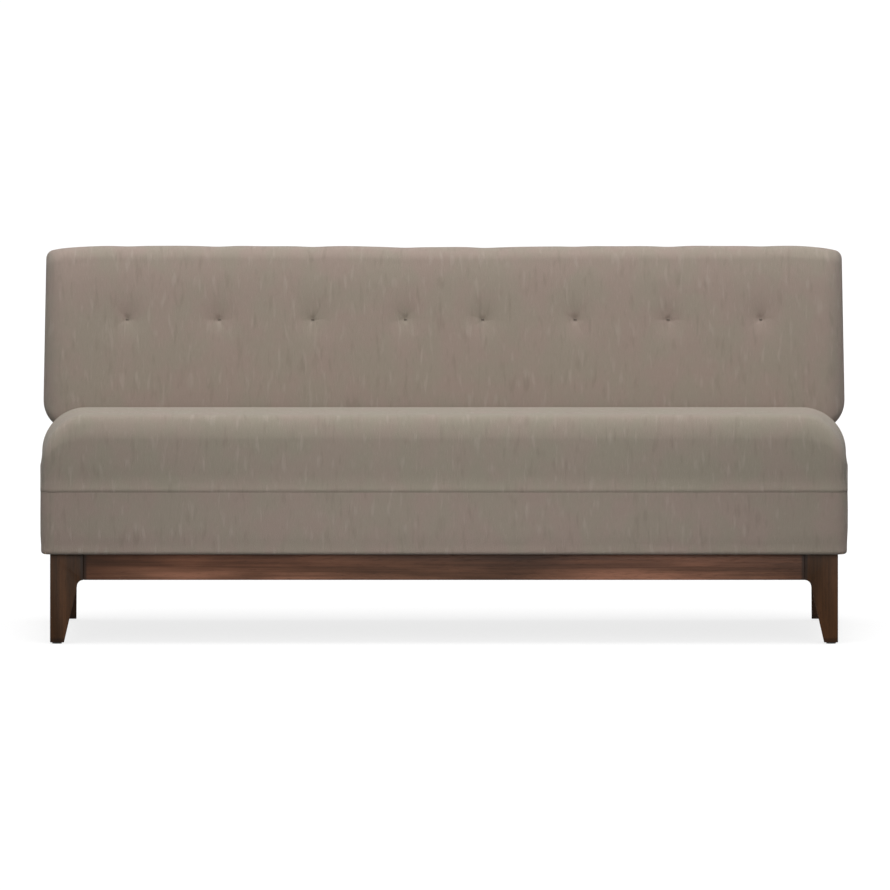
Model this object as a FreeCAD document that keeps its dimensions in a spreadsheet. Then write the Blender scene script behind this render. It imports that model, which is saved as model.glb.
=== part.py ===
"""Armless sofa section: a tight sprung seat and a tufted back on a tapered-leg walnut base.

Frame: millimetres, +Z up, the front faces -Y, +X to the right seen from the front. The origin is
on the floor under the middle of the sofa. Every driving dimension is on the Sizes sheet.
"""
import FreeCAD, Part
import math
import os
import Sketcher

Vector = FreeCAD.Vector
SIDES = (("left", -1), ("right", 1))
ENDS = (("front", -1), ("rear", 1))
THIRDS = (1 / 3, 2 / 3)
BOLT_SIDES = 8
GLIDE_SIDES = 12
ROD_SIDES = 6
TUFT_SIDES = 12
TUFT_STEPS = 2
TUFTS_PER_SIDE = 4
FUNNEL_SIDES = 6
ROLL_STEPS = 3

# Driving dimensions: name, value in millimetres or degrees, meaning
DIMENSIONS = (
    ("sofa_width", 1680, "across the border band"),
    ("sofa_height", 781, "floor to the top of the back"),
    ("seat_depth", 760, "front of the band to the rear of the band"),
    ("apron_bottom", 133, "floor to the underside of the apron"),
    ("apron_height", 54, "apron, top to bottom"),
    ("band_height", 130, "underside of the seat to the sewn seam"),
    ("seat_rise", 137, "seam to the front and rear edges of the seat's crown"),
    ("seat_crown", 8, "further rise of the seat between its front and rear edges"),
    ("shelf_rise", 87, "seam to the shelf that the back stands on"),
    ("cushion_inset", 4, "seat cover inside the face of the band"),
    ("seat_roll", 98, "radius of the soft roll at the front and at both ends"),
    ("shelf_roll", 60, "radius of the roll at the ends of the shelf"),
    ("shelf_edge", 20, "radius along the rear of the shelf"),
    ("crease_roll", 30, "radius where the crown turns down into the crease"),
    ("seat_corner", 24, "radius of the seat's upright corners"),
    ("cloth", 2, "thickness of the cover cloth"),
    ("wadding", 10, "thickness of the wadding over the foam"),
    ("band_padding", 8, "felt between the band and the rails"),
    ("seam_turn", 12, "width of the seam allowance turned in over the felt"),
    ("hem_turn", 26, "width of the band's hem under the rails"),
    ("soft_gap", 0.3, "clearance where one soft part lies against another"),
    ("back_recline", 10, "lean of the back from upright, degrees"),
    ("back_thickness", 180, "back, crown to rear cover"),
    ("back_crown", 10, "swell of the back's front face"),
    ("back_front_roll", 45, "radius along the top front edge of the back"),
    ("back_rear_roll", 25, "radius along the top rear edge of the back"),
    ("back_foot_roll", 20, "radius along the bottom front edge of the back"),
    ("back_end_roll", 45, "radius of the upright front edges of the back"),
    ("back_top_corner", 17, "radius of the back's top corners seen from the front"),
    ("back_bottom_corner", 60, "radius of the back's bottom corners seen from the front"),
    ("back_inset", 6, "foot of the back inside the band at each end"),
    ("back_draw_in", 7.5, "further inset of the back at its top"),
    ("back_top_drop", 9, "fall of the top edge towards each corner"),
    ("back_drop_run", 125, "length over which the top falls and the ends draw in"),
    ("back_setback", 2, "rear cover inside the rear of the band"),
    ("tuft_drop", 158, "top of the back to the row of tufts, down the slope"),
    ("tuft_first", 80, "middle of the back to the nearest tuft"),
    ("tuft_end", 181, "outermost tuft to the face of the band at its end"),
    ("tuft_reach", 45, "radius over which a tuft draws the cover in"),
    ("tuft_depth", 13, "depth of a tuft"),
    ("tuft_pinch", 4, "radius of the pinched spot at the bottom of a tuft"),
    ("tie_radius", 1, "twine through a tuft"),
    ("tuft_core", 12, "hole cored in the foam behind a tuft"),
    ("tuft_core_depth", 24, "depth of that hole from the front crown"),
    ("tuft_rim", 2, "height above the cover at which a tuft starts"),
    ("tie_gap", 0.4, "clearance round the twine"),
    ("toggle_length", 30, "toggle that the twine is tied to"),
    ("toggle_width", 9, "width of a toggle"),
    ("toggle_thickness", 4, "thickness of a toggle"),
    ("leg_inset", 20.5, "leg face inside the face of the band"),
    ("leg_head", 69, "leg width at the apron"),
    ("leg_shoulder", 13, "radius of the shoulder under the apron"),
    ("leg_foot", 29, "front leg width at the floor"),
    ("rear_leg_foot", 55, "rear leg width at the floor"),
    ("leg_head_depth", 62, "leg depth at the apron"),
    ("leg_foot_depth", 32, "leg depth at the floor"),
    ("leg_edge", 2, "radius of the upright outer arris of a leg"),
    ("glide_radius", 10, "corner radius of the nylon glide under a leg"),
    ("glide_height", 3, "thickness of a glide"),
    ("apron_thickness", 22, "apron, front to back"),
    ("apron_recess", 3.5, "apron face behind the leg face"),
    ("tenon_length", 25, "tenon on each end of an apron"),
    ("tenon_height", 34, "height of a tenon"),
    ("tenon_thickness", 10, "thickness of a tenon"),
    ("wood_gap", 0.2, "clearance of a tenon, pin or bolt in its hole"),
    ("stretcher_width", 70, "base stretcher under a cross rail"),
    ("stretcher_thickness", 22, "thickness of a base stretcher"),
    ("block_reach", 58, "leg of a triangular corner block"),
    ("block_height", 40, "height of a corner block"),
    ("rail_thickness", 28, "seat frame rails"),
    ("spring_space", 9, "seat frame rails below the seam"),
    ("cross_rail_height", 64, "height of a cross rail"),
    ("spring_wire", 4, "thickness of a sinuous spring"),
    ("spring_count", 8, "sinuous springs across the seat"),
    ("spring_width", 52, "width of a sinuous spring"),
    ("spring_step", 70, "least spacing of a spring's bars"),
    ("clip_width", 26, "spring clip along its rail"),
    ("clip_sheet", 1.5, "sheet thickness of a spring clip"),
    ("clip_reach", 22, "clip across its rail"),
    ("tie_wire", 1.5, "radius of the wires that tie the springs together"),
    ("insulator", 3, "felt sheet between springs and foam"),
    ("post_thickness", 26, "back post, side to side"),
    ("post_depth", 30, "back post, front to rear"),
    ("post_foot", 12, "foot of a post above the underside of the seat frame"),
    ("lower_rail_height", 60, "lower rail of the back"),
    ("lower_rail_thickness", 15, "lower rail, let into the posts"),
    ("lower_rail_rise", 34, "lower rail above the foot of the back, up the slope"),
    ("top_rail_height", 60, "top rail of the back"),
    ("top_rail_cover", 30, "foam and wadding above the top rail"),
    ("end_cover", 24, "foam and wadding outside an end stile"),
    ("stile_width", 40, "end stile of the back"),
    ("webbing_width", 50, "webbing strap behind each tuft"),
    ("webbing", 2, "thickness of the webbing"),
    ("strap_end", 15, "strap short of the outer edge of the rail it is tacked to"),
    ("liner", 1, "thickness of the woven liner in front of the webbing"),
    ("bolt_radius", 4, "corner radius of a bolt's octagon shank"),
    ("bolt_head", 7.5, "corner radius of a bolt's hexagon head and nut"),
    ("bolt_head_height", 5, "height of a bolt's head and nut"),
    ("bolt_inset", 150, "frame bolt from the front and rear of the seat frame"),
    ("post_bolt_low", 30, "lower post bolt above the foot of the post"),
    ("post_bolt_pitch", 55, "spacing of the two bolts in a post"),
)


class Size:
    """A length or an angle: its value, and the formula that gives it on the Sizes sheet."""

    def __init__(self, value, formula):
        self.value = float(value)
        self.formula = formula

    def __float__(self):
        return self.value

    def __add__(self, other):
        return joined(self, "+", other, self.value + float(other))

    def __sub__(self, other):
        return joined(self, "-", other, self.value - float(other))

    def __mul__(self, other):
        return joined(self, "*", other, self.value * float(other))

    def __truediv__(self, other):
        return joined(self, "/", other, self.value / float(other))

    def __neg__(self):
        return Size(-self.value, f"(0 - {self.formula})")


def size(number):
    """Gives a plain number the form of a Size."""
    if isinstance(number, Size):
        return number
    return Size(number, repr(float(number))) if number >= 0 else -size(-number)


def joined(left, sign, right, value):
    return Size(value, f"({size(left).formula} {sign} {size(right).formula})")


def cosine(angle):
    return Size(math.cos(math.radians(float(angle))), f"cos({angle.formula})")


def sine(angle):
    return Size(math.sin(math.radians(float(angle))), f"sin({angle.formula})")


doc = FreeCAD.newDocument("ArmlessSofa")
sheet = doc.addObject("Spreadsheet::Sheet", "Sizes")
dim = {}
for row, (name, value, meaning) in enumerate(DIMENSIONS, start=1):
    sheet.set(f"A{row}", name)
    sheet.set(f"B{row}", str(value))
    sheet.set(f"C{row}", meaning)
    sheet.setAlias(f"B{row}", name)
    dim[name] = Size(value, f"Sizes.{name}")
doc.recompute()

# Levels
seat_base = dim["apron_bottom"] + dim["apron_height"]
frame_base = seat_base + dim["cloth"]
seam = seat_base + dim["band_height"]
shelf = seam + dim["shelf_rise"]
rail_top = seam - dim["spring_space"]
rail_height = rail_top - frame_base
insulator_base = seam - dim["insulator"]
spring_base = insulator_base - dim["spring_wire"]

# The back stands on the shelf and leans: its own axes run across, rearwards and up its slope
lean_cos = cosine(dim["back_recline"])
lean_sin = sine(dim["back_recline"])
top_roll_centre = dim["back_crown"] + dim["back_front_roll"]
back_length = ((dim["sofa_height"] - shelf - dim["back_front_roll"] + top_roll_centre * lean_sin) / lean_cos
               + dim["back_front_roll"])
back_overhang = ((back_length - dim["back_rear_roll"]) * lean_sin
                 + (dim["back_thickness"] - dim["back_rear_roll"]) * lean_cos
                 + dim["back_rear_roll"] - dim["back_thickness"] / lean_cos)
sofa_depth = dim["seat_depth"] - dim["back_setback"] + back_overhang

# Planes front to rear, with the whole sofa centred on the origin
seat_front = -sofa_depth / 2
seat_rear = seat_front + dim["seat_depth"]
seat_middle = seat_front + dim["seat_depth"] / 2
half_width = dim["sofa_width"] / 2
back_foot = seat_rear - dim["back_setback"] - dim["back_thickness"] / lean_cos
foot_roll_centre = dim["back_crown"] + dim["back_foot_roll"]
crease = (back_foot + foot_roll_centre * lean_cos + dim["back_foot_roll"] * lean_sin
          - dim["back_foot_roll"] - dim["soft_gap"])
rail_inset = dim["cloth"] + dim["band_padding"]
rail_half = half_width - rail_inset
rail_front = seat_front + rail_inset
rail_rear = seat_rear - rail_inset
inner_half = rail_half - dim["rail_thickness"]
inner_front = rail_front + dim["rail_thickness"]
inner_rear = rail_rear - dim["rail_thickness"]
leg_half = half_width - dim["leg_inset"]
leg_front = seat_front + dim["leg_inset"]
leg_rear = seat_rear - dim["leg_inset"]

# Planes through the back, measured rearwards from its front crown
frame_rear = dim["back_thickness"] - dim["cloth"] - dim["wadding"]
frame_front = frame_rear - dim["post_depth"]
webbing_front = frame_front - dim["webbing"]
liner_front = webbing_front - dim["liner"]
frame_top = back_length - dim["top_rail_cover"]
frame_half = half_width - dim["back_inset"] - dim["back_draw_in"] - dim["end_cover"]
top_rail_foot = frame_top - dim["top_rail_height"]
tuft_rise = back_length - dim["tuft_drop"]
tuft_pitch = (half_width - dim["tuft_end"] - dim["tuft_first"]) / (TUFTS_PER_SIDE - 1)
tuft_places = [side * float(dim["tuft_first"] + tuft_pitch * step)
               for _, side in SIDES for step in range(TUFTS_PER_SIDE)]
lean_turn = FreeCAD.Rotation(Vector(1, 0, 0), -float(dim["back_recline"]))
back_place = FreeCAD.Placement(Vector(0, float(back_foot), float(shelf)), lean_turn)

nodes = {}


def finish(label, item):
    """Labels a finished sub-part and keeps it for writing."""
    item.Label = label
    nodes[label] = item
    return item


def bind(item, formulas):
    for path, value in formulas.items():
        item.setExpression(path, size(value).formula)
    return item


def move(item, x, y, z):
    return bind(item, {"Placement.Base.x": x, "Placement.Base.y": y, "Placement.Base.z": z})


def board(name, lengths, corner):
    """A squared board, by its lengths and its lowest corner."""
    item = doc.addObject("Part::Box", name)
    bind(item, dict(zip(("Length", "Width", "Height"), lengths)))
    return move(item, *corner)


def back_board(name, lengths, corner):
    """A board square to the leaning back, by its lengths and lowest corner in the back's own axes."""
    x, rearwards, up = corner
    item = doc.addObject("Part::Box", name)
    item.Placement = FreeCAD.Placement(Vector(), lean_turn)
    bind(item, dict(zip(("Length", "Width", "Height"), lengths)))
    bind(item, {"Placement.Rotation.Angle": -dim["back_recline"]})
    y = back_foot + size(rearwards) * lean_cos + size(up) * lean_sin
    z = shelf - size(rearwards) * lean_sin + size(up) * lean_cos
    return move(item, x, y, z)


def group(label, items):
    """Like pieces that share one node."""
    item = doc.addObject("Part::Compound", f"{label}_group")
    item.Links = items
    return finish(label, item)


def cut(label, base, tools):
    """A piece with holes or notches taken out of it."""
    removed = doc.addObject("Part::Compound", f"{label}_holes")
    removed.Links = tools
    item = doc.addObject("Part::Cut", f"{label}_cut")
    item.Base = base
    item.Tool = removed
    return finish(label, item)


def bar(name, sides, radius, length, corner, turn=None):
    """A straight bar of so many sides along Z, or along the axis that a turn points it to."""
    item = doc.addObject("Part::Prism", name)
    item.Placement = FreeCAD.Placement(Vector(), turn or FreeCAD.Rotation())
    item.Polygon = sides
    bind(item, {"Circumradius": radius, "Height": length})
    return move(item, *corner)


def bolt(name, length, corner, turn=None, nut_place=None):
    """A hexagon-headed bolt from its head's outer face, with a nut where nut_place is given."""
    pieces = [bar(f"{name}_shank", BOLT_SIDES, dim["bolt_radius"], length, corner, turn)]
    for place in (corner, nut_place):
        if place is not None:
            pieces.append(bar(f"{name}_hexagon", 6, dim["bolt_head"], dim["bolt_head_height"], place, turn))
    item = doc.addObject("Part::MultiFuse", name)
    item.Shapes = pieces
    return item


def bolt_hole(name, length, corner, turn=None):
    return bar(f"{name}_bolt_hole", BOLT_SIDES, dim["bolt_radius"] + dim["wood_gap"], length, corner, turn)


def origin_plane(body, role):
    return next(feature for feature in body.Origin.OriginFeatures if feature.Role == role)


def draw_outline(sketch, corners):
    """Draws a closed outline from corner to corner.

    A corner is (x, y), reached by a straight line, or (x, y, centre), reached by an arc about that
    centre. Every corner is held at its place by its formulas, and every arc by its radius.
    """
    edges = []
    for before, corner in zip(corners[-1:] + corners[:-1], corners):
        start, stop = flat(before), flat(corner)
        if len(corner) == 2:
            edges.append((sketch.addGeometry(Part.LineSegment(start, stop), False), 1, 2))
            continue
        middle = flat(corner[2])
        first, second = start - middle, stop - middle
        anticlockwise = first.x * second.y - first.y * second.x > 0
        opening, closing = (1, 2) if anticlockwise else (2, 1)
        low, high = (first, second) if anticlockwise else (second, first)
        angle = math.atan2(low.y, low.x)
        circle = Part.Circle(middle, Vector(0, 0, 1), first.Length)
        arc = sketch.addGeometry(Part.ArcOfCircle(circle, angle, angle + low.getAngle(high)), False)
        edges.append((arc, opening, closing))
    for before, edge in zip(edges[-1:] + edges[:-1], edges):
        sketch.addConstraint(Sketcher.Constraint("Coincident", before[0], before[2], edge[0], edge[1]))
    for (edge, _, closing), corner in zip(edges, corners):
        for kind, place in zip(("DistanceX", "DistanceY"), corner):
            hold(sketch, Sketcher.Constraint(kind, -1, 1, edge, closing, float(place)), place)
        if len(corner) == 3:
            centre_x, centre_y = corner[2]
            reach = size(corner[0]) - centre_x, size(corner[1]) - centre_y
            radius = max((reach[0], reach[1]), key=lambda span: abs(float(span)))
            radius = radius if float(radius) > 0 else -radius
            hold(sketch, Sketcher.Constraint("Radius", edge, float(radius)), radius)


def flat(corner):
    return Vector(float(corner[0]), float(corner[1]), 0)


def hold(sketch, constraint, value):
    """Adds a constraint whose value follows the Sizes sheet."""
    number = sketch.addConstraint(constraint)
    sketch.setExpression(f"Constraints[{number}]", size(value).formula)


def sketch_in(body, name, role, outlines, height=None):
    """A sketch on one of the body's origin planes, raised off it by height where that is given."""
    sketch = body.newObject("Sketcher::SketchObject", name)
    sketch.AttachmentSupport = (origin_plane(body, role), [""])
    sketch.MapMode = "FlatFace"
    if height is not None:
        sketch.setExpression("AttachmentOffset.Base.z", size(height).formula)
    for outline in outlines:
        draw_outline(sketch, outline)
    return sketch


def pad(body, name, sketch, length, symmetric=False, reversed_way=False):
    item = body.newObject("PartDesign::Pad", name)
    item.Profile = sketch
    item.SideType = "Symmetric" if symmetric else "One side"
    item.Reversed = reversed_way
    return bind(item, {"Length": length})


def rectangle(low_x, high_x, low_y, high_y):
    return [(low_x, low_y), (high_x, low_y), (high_x, high_y), (low_x, high_y)]


def round_rectangle(half_x, low_y, high_y, radius):
    """A rectangle about the middle of the sofa with four rounded corners."""
    near_x, near_low, near_high = half_x - radius, low_y + radius, high_y - radius
    return [
        (-near_x, low_y, (-near_x, near_low)),
        (near_x, low_y),
        (half_x, near_low, (near_x, near_low)),
        (half_x, near_high),
        (near_x, high_y, (near_x, near_high)),
        (-near_x, high_y),
        (-half_x, near_high, (-near_x, near_high)),
        (-half_x, near_low),
    ]


# Walnut base
def foot_width(end):
    return dim["leg_foot"] if end < 0 else dim["rear_leg_foot"]


def tapered_leg(label, side, end):
    """A leg with an upright outer corner, shouldered under the apron and tapered inwards both ways."""
    inward_x, inward_y = -side, -end
    knee = dim["apron_bottom"] - dim["leg_shoulder"]
    inner_face = dim["leg_head"] * inward_x
    body = doc.addObject("PartDesign::Body", f"{label}_body")
    front_view = sketch_in(body, f"{label}_front_view", "XZ_Plane", [[
        (0, dim["glide_height"]),
        (0, seat_base),
        (inner_face, seat_base),
        (inner_face, dim["apron_bottom"]),
        (inner_face - dim["leg_shoulder"] * inward_x, knee, (inner_face, knee)),
        (foot_width(end) * inward_x, dim["glide_height"]),
    ]])
    blank = pad(body, f"{label}_blank", front_view, dim["leg_head_depth"], reversed_way=end < 0)
    waste = dim["leg_head_depth"] * 2 - dim["leg_foot_depth"]
    side_view = sketch_in(body, f"{label}_side_view", "YZ_Plane", [[
        (dim["leg_foot_depth"] * inward_y, dim["glide_height"]),
        (dim["leg_head_depth"] * inward_y, knee),
        (waste * inward_y, knee),
        (waste * inward_y, dim["glide_height"]),
    ]])
    taper = body.newObject("PartDesign::Pocket", f"{label}_taper")
    taper.Profile = side_view
    taper.SideType = "Symmetric"
    bind(taper, {"Length": dim["leg_head"] * 2 + dim["leg_shoulder"]})
    doc.recompute()
    if taper.Shape.Volume >= blank.Shape.Volume:
        raise RuntimeError(f"the taper of {label} took nothing off")
    outer_edges = [f"Edge{number}" for number, edge in enumerate(taper.Shape.Edges, start=1)
                   if math.hypot(edge.CenterOfMass.x, edge.CenterOfMass.y) < 1e-6]
    arris = body.newObject("PartDesign::Fillet", f"{label}_arris")
    arris.Base = (taper, outer_edges)
    bind(arris, {"Radius": dim["leg_edge"]})
    return move(body, leg_half * side, leg_front if end < 0 else leg_rear, 0)


tenon_base = dim["apron_bottom"] + (dim["apron_height"] - dim["tenon_height"]) / 2
mortise_length = dim["tenon_length"] + dim["wood_gap"]
mortise_height = dim["tenon_height"] + dim["wood_gap"] * 2
mortise_width = dim["tenon_thickness"] + dim["wood_gap"] * 2
tenon_face = dim["apron_recess"] + (dim["apron_thickness"] - dim["tenon_thickness"]) / 2
mortise_face = tenon_face - dim["wood_gap"]
mortise_base = tenon_base - dim["wood_gap"]


def spanned(face, way, near, far):
    """The lower of two planes set off from a face in the direction way."""
    return face + near if way > 0 else face - far


for end_name, end in ENDS:
    for side_name, side in SIDES:
        name = f"leg_{end_name}_{side_name}"
        outer_x, outer_y = leg_half * side, leg_front if end < 0 else leg_rear
        far_x = dim["leg_head"] + dim["soft_gap"]
        far_y = dim["leg_head_depth"] + dim["soft_gap"]
        front_mortise = board(f"{name}_front_mortise", (
            mortise_length + dim["soft_gap"], mortise_width, mortise_height), (
            spanned(outer_x, -side, dim["leg_head"] - mortise_length, far_x),
            spanned(outer_y, -end, mortise_face, mortise_face + mortise_width), mortise_base))
        side_mortise = board(f"{name}_side_mortise", (
            mortise_width, mortise_length + dim["soft_gap"], mortise_height), (
            spanned(outer_x, -side, mortise_face, mortise_face + mortise_width),
            spanned(outer_y, -end, dim["leg_head_depth"] - mortise_length, far_y), mortise_base))
        cut(name, tapered_leg(name, side, end), [front_mortise, side_mortise])


def tenoned_apron(label, role, half_length, middle, outer_plane, way):
    """An apron between two legs, with a centred tenon on each end."""
    low = spanned(outer_plane, way, dim["apron_recess"], dim["apron_recess"] + dim["apron_thickness"])
    tenon_low = spanned(outer_plane, way, tenon_face, tenon_face + dim["tenon_thickness"])
    body = doc.addObject("PartDesign::Body", label)
    section = sketch_in(body, f"{label}_section", role, [
        rectangle(low, low + dim["apron_thickness"], dim["apron_bottom"], seat_base)])
    pad(body, f"{label}_board", section, half_length * 2, symmetric=True)
    tenon = sketch_in(body, f"{label}_tenon_section", role, [
        rectangle(tenon_low, tenon_low + dim["tenon_thickness"], tenon_base,
                  tenon_base + dim["tenon_height"])])
    pad(body, f"{label}_tenons", tenon, (half_length + dim["tenon_length"]) * 2, symmetric=True)
    bind(body, {"Placement.Base.y": middle})
    return finish(label, body)


front_half = leg_half - dim["leg_head"]
side_half = dim["seat_depth"] / 2 - dim["leg_inset"] - dim["leg_head_depth"]
tenoned_apron("front_apron", "YZ_Plane", front_half, 0, leg_front, 1)
tenoned_apron("rear_apron", "YZ_Plane", front_half, 0, leg_rear, -1)
tenoned_apron("left_apron", "XZ_Plane", side_half, seat_middle, -leg_half, 1)
tenoned_apron("right_apron", "XZ_Plane", side_half, seat_middle, leg_half, -1)

glides = []
for _, end in ENDS:
    for _, side in SIDES:
        x = (leg_half - foot_width(end) / 2) * side
        y = (leg_front if end < 0 else leg_rear) - dim["leg_foot_depth"] / 2 * end
        glides.append(bar("glide", GLIDE_SIDES, dim["glide_radius"], dim["glide_height"], (x, y, 0)))
group("leg_glides", glides)

apron_back = dim["apron_recess"] + dim["apron_thickness"]
stretcher_front = leg_front + apron_back
stretcher_rear = leg_rear - apron_back
cross_places = [-half_width / 2, size(0), half_width / 2]
bolt_places = [(x, y) for x in cross_places
               for y in (rail_front + dim["bolt_inset"], rail_rear - dim["bolt_inset"])]
cross_top = frame_base + dim["cross_rail_height"]
stretcher_base = seat_base - dim["stretcher_thickness"]


def frame_bolt_holes(name, low, high):
    """Upright holes for the frame bolts between two levels."""
    return [bolt_hole(name, high - low, (x, y, low)) for x, y in bolt_places]


stretchers = doc.addObject("Part::Compound", "stretcher_blanks")
stretchers.Links = [board("stretcher", (
    dim["stretcher_width"], stretcher_rear - stretcher_front, dim["stretcher_thickness"]), (
    x - dim["stretcher_width"] / 2, stretcher_front, stretcher_base)) for x in cross_places]
cut("base_stretchers", stretchers, frame_bolt_holes("stretcher", stretcher_base, seat_base))


def corner_blocks(label, half_x, front, rear, base):
    """Four triangular blocks glued into the inner corners of a frame."""
    reach = dim["block_reach"]
    body_sketch = doc.addObject("Sketcher::SketchObject", f"{label}_outline")
    body_sketch.setExpression("Placement.Base.z", base.formula)
    for _, side in SIDES:
        for y, way in ((front, 1), (rear, -1)):
            x = half_x * side
            draw_outline(body_sketch, [(x, y), (x - reach * side, y), (x, y + reach * way)])
    blocks = doc.addObject("Part::Extrusion", f"{label}_blocks")
    blocks.Base = body_sketch
    blocks.DirMode = "Normal"
    blocks.Solid = True
    bind(blocks, {"LengthFwd": dim["block_height"]})
    return finish(label, blocks)


# The base blocks sit behind the legs, clear of them, between the aprons
corner_blocks("leg_corner_blocks", leg_half - dim["leg_head"], stretcher_front, stretcher_rear,
              seat_base - dim["block_height"])

# Seat frame of hardwood rails
front_rail_length = rail_half * 2
side_rail_length = inner_rear - inner_front
finish("seat_front_rail", board("seat_front_rail_board", (
    front_rail_length, dim["rail_thickness"], rail_height), (-rail_half, rail_front, frame_base)))
finish("seat_left_rail", board("seat_left_rail_board", (
    dim["rail_thickness"], side_rail_length, rail_height), (-rail_half, inner_front, frame_base)))
finish("seat_right_rail", board("seat_right_rail_board", (
    dim["rail_thickness"], side_rail_length, rail_height), (inner_half, inner_front, frame_base)))
corner_blocks("seat_corner_blocks", inner_half, inner_front, inner_rear, frame_base)
cross_rails = doc.addObject("Part::Compound", "cross_rail_blanks")
cross_rails.Links = [board("cross_rail", (
    dim["rail_thickness"], side_rail_length, dim["cross_rail_height"]), (
    x - dim["rail_thickness"] / 2, inner_front, frame_base)) for x in cross_places]
cut("seat_cross_rails", cross_rails, frame_bolt_holes("cross_rail", frame_base, cross_top))

head_base = stretcher_base - dim["bolt_head_height"]
group("frame_bolts", [
    bolt("frame_bolt", cross_top + dim["bolt_head_height"] - head_base, (x, y, head_base),
         nut_place=(x, y, cross_top)) for x, y in bolt_places])

# Back posts: upright inside the seat's rear rail, cranked rearwards to the lean of the back. Each
# stands midway between two tufts, clear of their straps
inner_post = dim["tuft_first"] + tuft_pitch / 2
outer_post = inner_post + tuft_pitch * 2
post_places = [-outer_post, -inner_post, inner_post, outer_post]
post_names = ("back_post_outer_left", "back_post_inner_left",
              "back_post_inner_right", "back_post_outer_right")
post_foot = frame_base + dim["post_foot"]
crown_low = dim["back_foot_roll"]
crown_high = back_length - dim["back_front_roll"]
crown_share = (tuft_rise * 2 - crown_low - crown_high) / (crown_high - crown_low)
tuft_front = dim["back_crown"] * crown_share * crown_share
tuft_bottom = tuft_front + dim["tuft_depth"]
post_front = inner_rear - dim["post_depth"]
bolt_levels = [post_foot + dim["post_bolt_low"], post_foot + dim["post_bolt_low"] + dim["post_bolt_pitch"]]
rearward_turn = FreeCAD.Rotation(Vector(1, 0, 0), -90)


def in_back(rearwards, up):
    """Height and depth of a point given by the back's own axes."""
    y = back_foot + rearwards * lean_cos + up * lean_sin
    z = shelf - rearwards * lean_sin + up * lean_cos
    return y, z


notch = frame_front + dim["lower_rail_thickness"]
lower_rail_top = dim["lower_rail_rise"] + dim["lower_rail_height"]
foot_rise = frame_front * lean_sin / lean_cos
post_outline = [
    (post_front, post_foot),
    (inner_rear, post_foot),
    (inner_rear, rail_top),
    in_back(frame_rear, frame_rear * lean_sin / lean_cos),
    in_back(frame_rear, top_rail_foot),
    in_back(frame_front, top_rail_foot),
    in_back(frame_front, lower_rail_top + foot_rise),
    in_back(notch, lower_rail_top + foot_rise),
    in_back(notch, dim["lower_rail_rise"] + foot_rise),
    in_back(frame_front, dim["lower_rail_rise"] + foot_rise),
    in_back(frame_front, foot_rise),
    (post_front, rail_top - dim["post_depth"]),
]
for name, x in zip(post_names, post_places):
    post = doc.addObject("PartDesign::Body", f"{name}_body")
    outline = sketch_in(post, f"{name}_outline", "YZ_Plane", [post_outline])
    pad(post, f"{name}_board", outline, dim["post_thickness"], symmetric=True)
    bind(post, {"Placement.Base.x": x})
    cut(name, post, [bolt_hole(name, dim["post_depth"], (x, post_front, z), rearward_turn)
                     for z in bolt_levels])

rear_rail_board = board("seat_rear_rail_board", (front_rail_length, dim["rail_thickness"], rail_height), (
    -rail_half, inner_rear, frame_base))
cut("seat_rear_rail", rear_rail_board, [
    bolt_hole("rear_rail", dim["rail_thickness"], (x, inner_rear, z), rearward_turn)
    for x in post_places for z in bolt_levels])
head_front = post_front - dim["bolt_head_height"]
group("back_bolts", [
    bolt("back_bolt", rail_rear - head_front, (x, head_front, z), rearward_turn)
    for x in post_places for z in bolt_levels])

# Back frame
finish("back_top_rail", back_board("back_top_rail_board", (
    frame_half * 2, dim["post_depth"], dim["top_rail_height"]), (-frame_half, frame_front, top_rail_foot)))
finish("back_lower_rail", back_board("back_lower_rail_board", (
    frame_half * 2, dim["lower_rail_thickness"], dim["lower_rail_height"]), (
    -frame_half, frame_front, dim["lower_rail_rise"] + foot_rise)))
stile_foot = dim["lower_rail_rise"] + foot_rise
for side_name, side in SIDES:
    x = -frame_half if side < 0 else frame_half - dim["stile_width"]
    blank = back_board(f"{side_name}_stile_board", (
        dim["stile_width"], dim["post_depth"], top_rail_foot - stile_foot), (x, frame_front, stile_foot))
    lap = back_board(f"{side_name}_stile_lap", (
        dim["stile_width"], dim["lower_rail_thickness"], dim["lower_rail_height"]), (x, frame_front, stile_foot))
    cut(f"back_{side_name}_stile", blank, [lap])

# Sinuous springs in clips on the front and rear rails
clip_depth = dim["clip_reach"]
spring_low = inner_front - clip_depth / 2
spring_high = inner_rear + clip_depth / 2


def spring_middles():
    """Middles of the springs, evenly spread between the side rails."""
    count = round(float(dim["spring_count"]))
    spacing = 2 * float(inner_half) / count
    return [spacing * (number + 0.5) - float(inner_half) for number in range(count)]


def sinuous_spring(middle):
    """A flat wire bent to and fro, with bevelled bends, as one closed outline raised by its thickness."""
    wire = float(dim["spring_wire"])
    reach = float(dim["spring_width"]) / 2 - wire / 2
    length = float(spring_high - spring_low) - wire
    bars = int(length // float(dim["spring_step"]))
    step = length / bars
    bevel = step / 4
    line = []
    for bar in range(bars + 1):
        y = float(spring_low) + wire / 2 + bar * step
        way = 1 if bar % 2 == 0 else -1
        if bar > 0:
            line += [(-way * reach, y - bevel), (-way * (reach - bevel), y)]
        if bar < bars:
            line += [(way * (reach - bevel), y), (way * reach, y + bevel)]
    line[0:0] = [(-reach, float(spring_low) + wire / 2)]
    line.append(((1 if bars % 2 == 0 else -1) * reach, float(spring_high) - wire / 2))
    outline = offset_both_ways(line, wire / 2)
    base = float(spring_base)
    face = Part.Face(Part.makePolygon([Vector(middle + x, y, base) for x, y in outline + outline[:1]]))
    return face.extrude(Vector(0, 0, wire))


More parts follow.
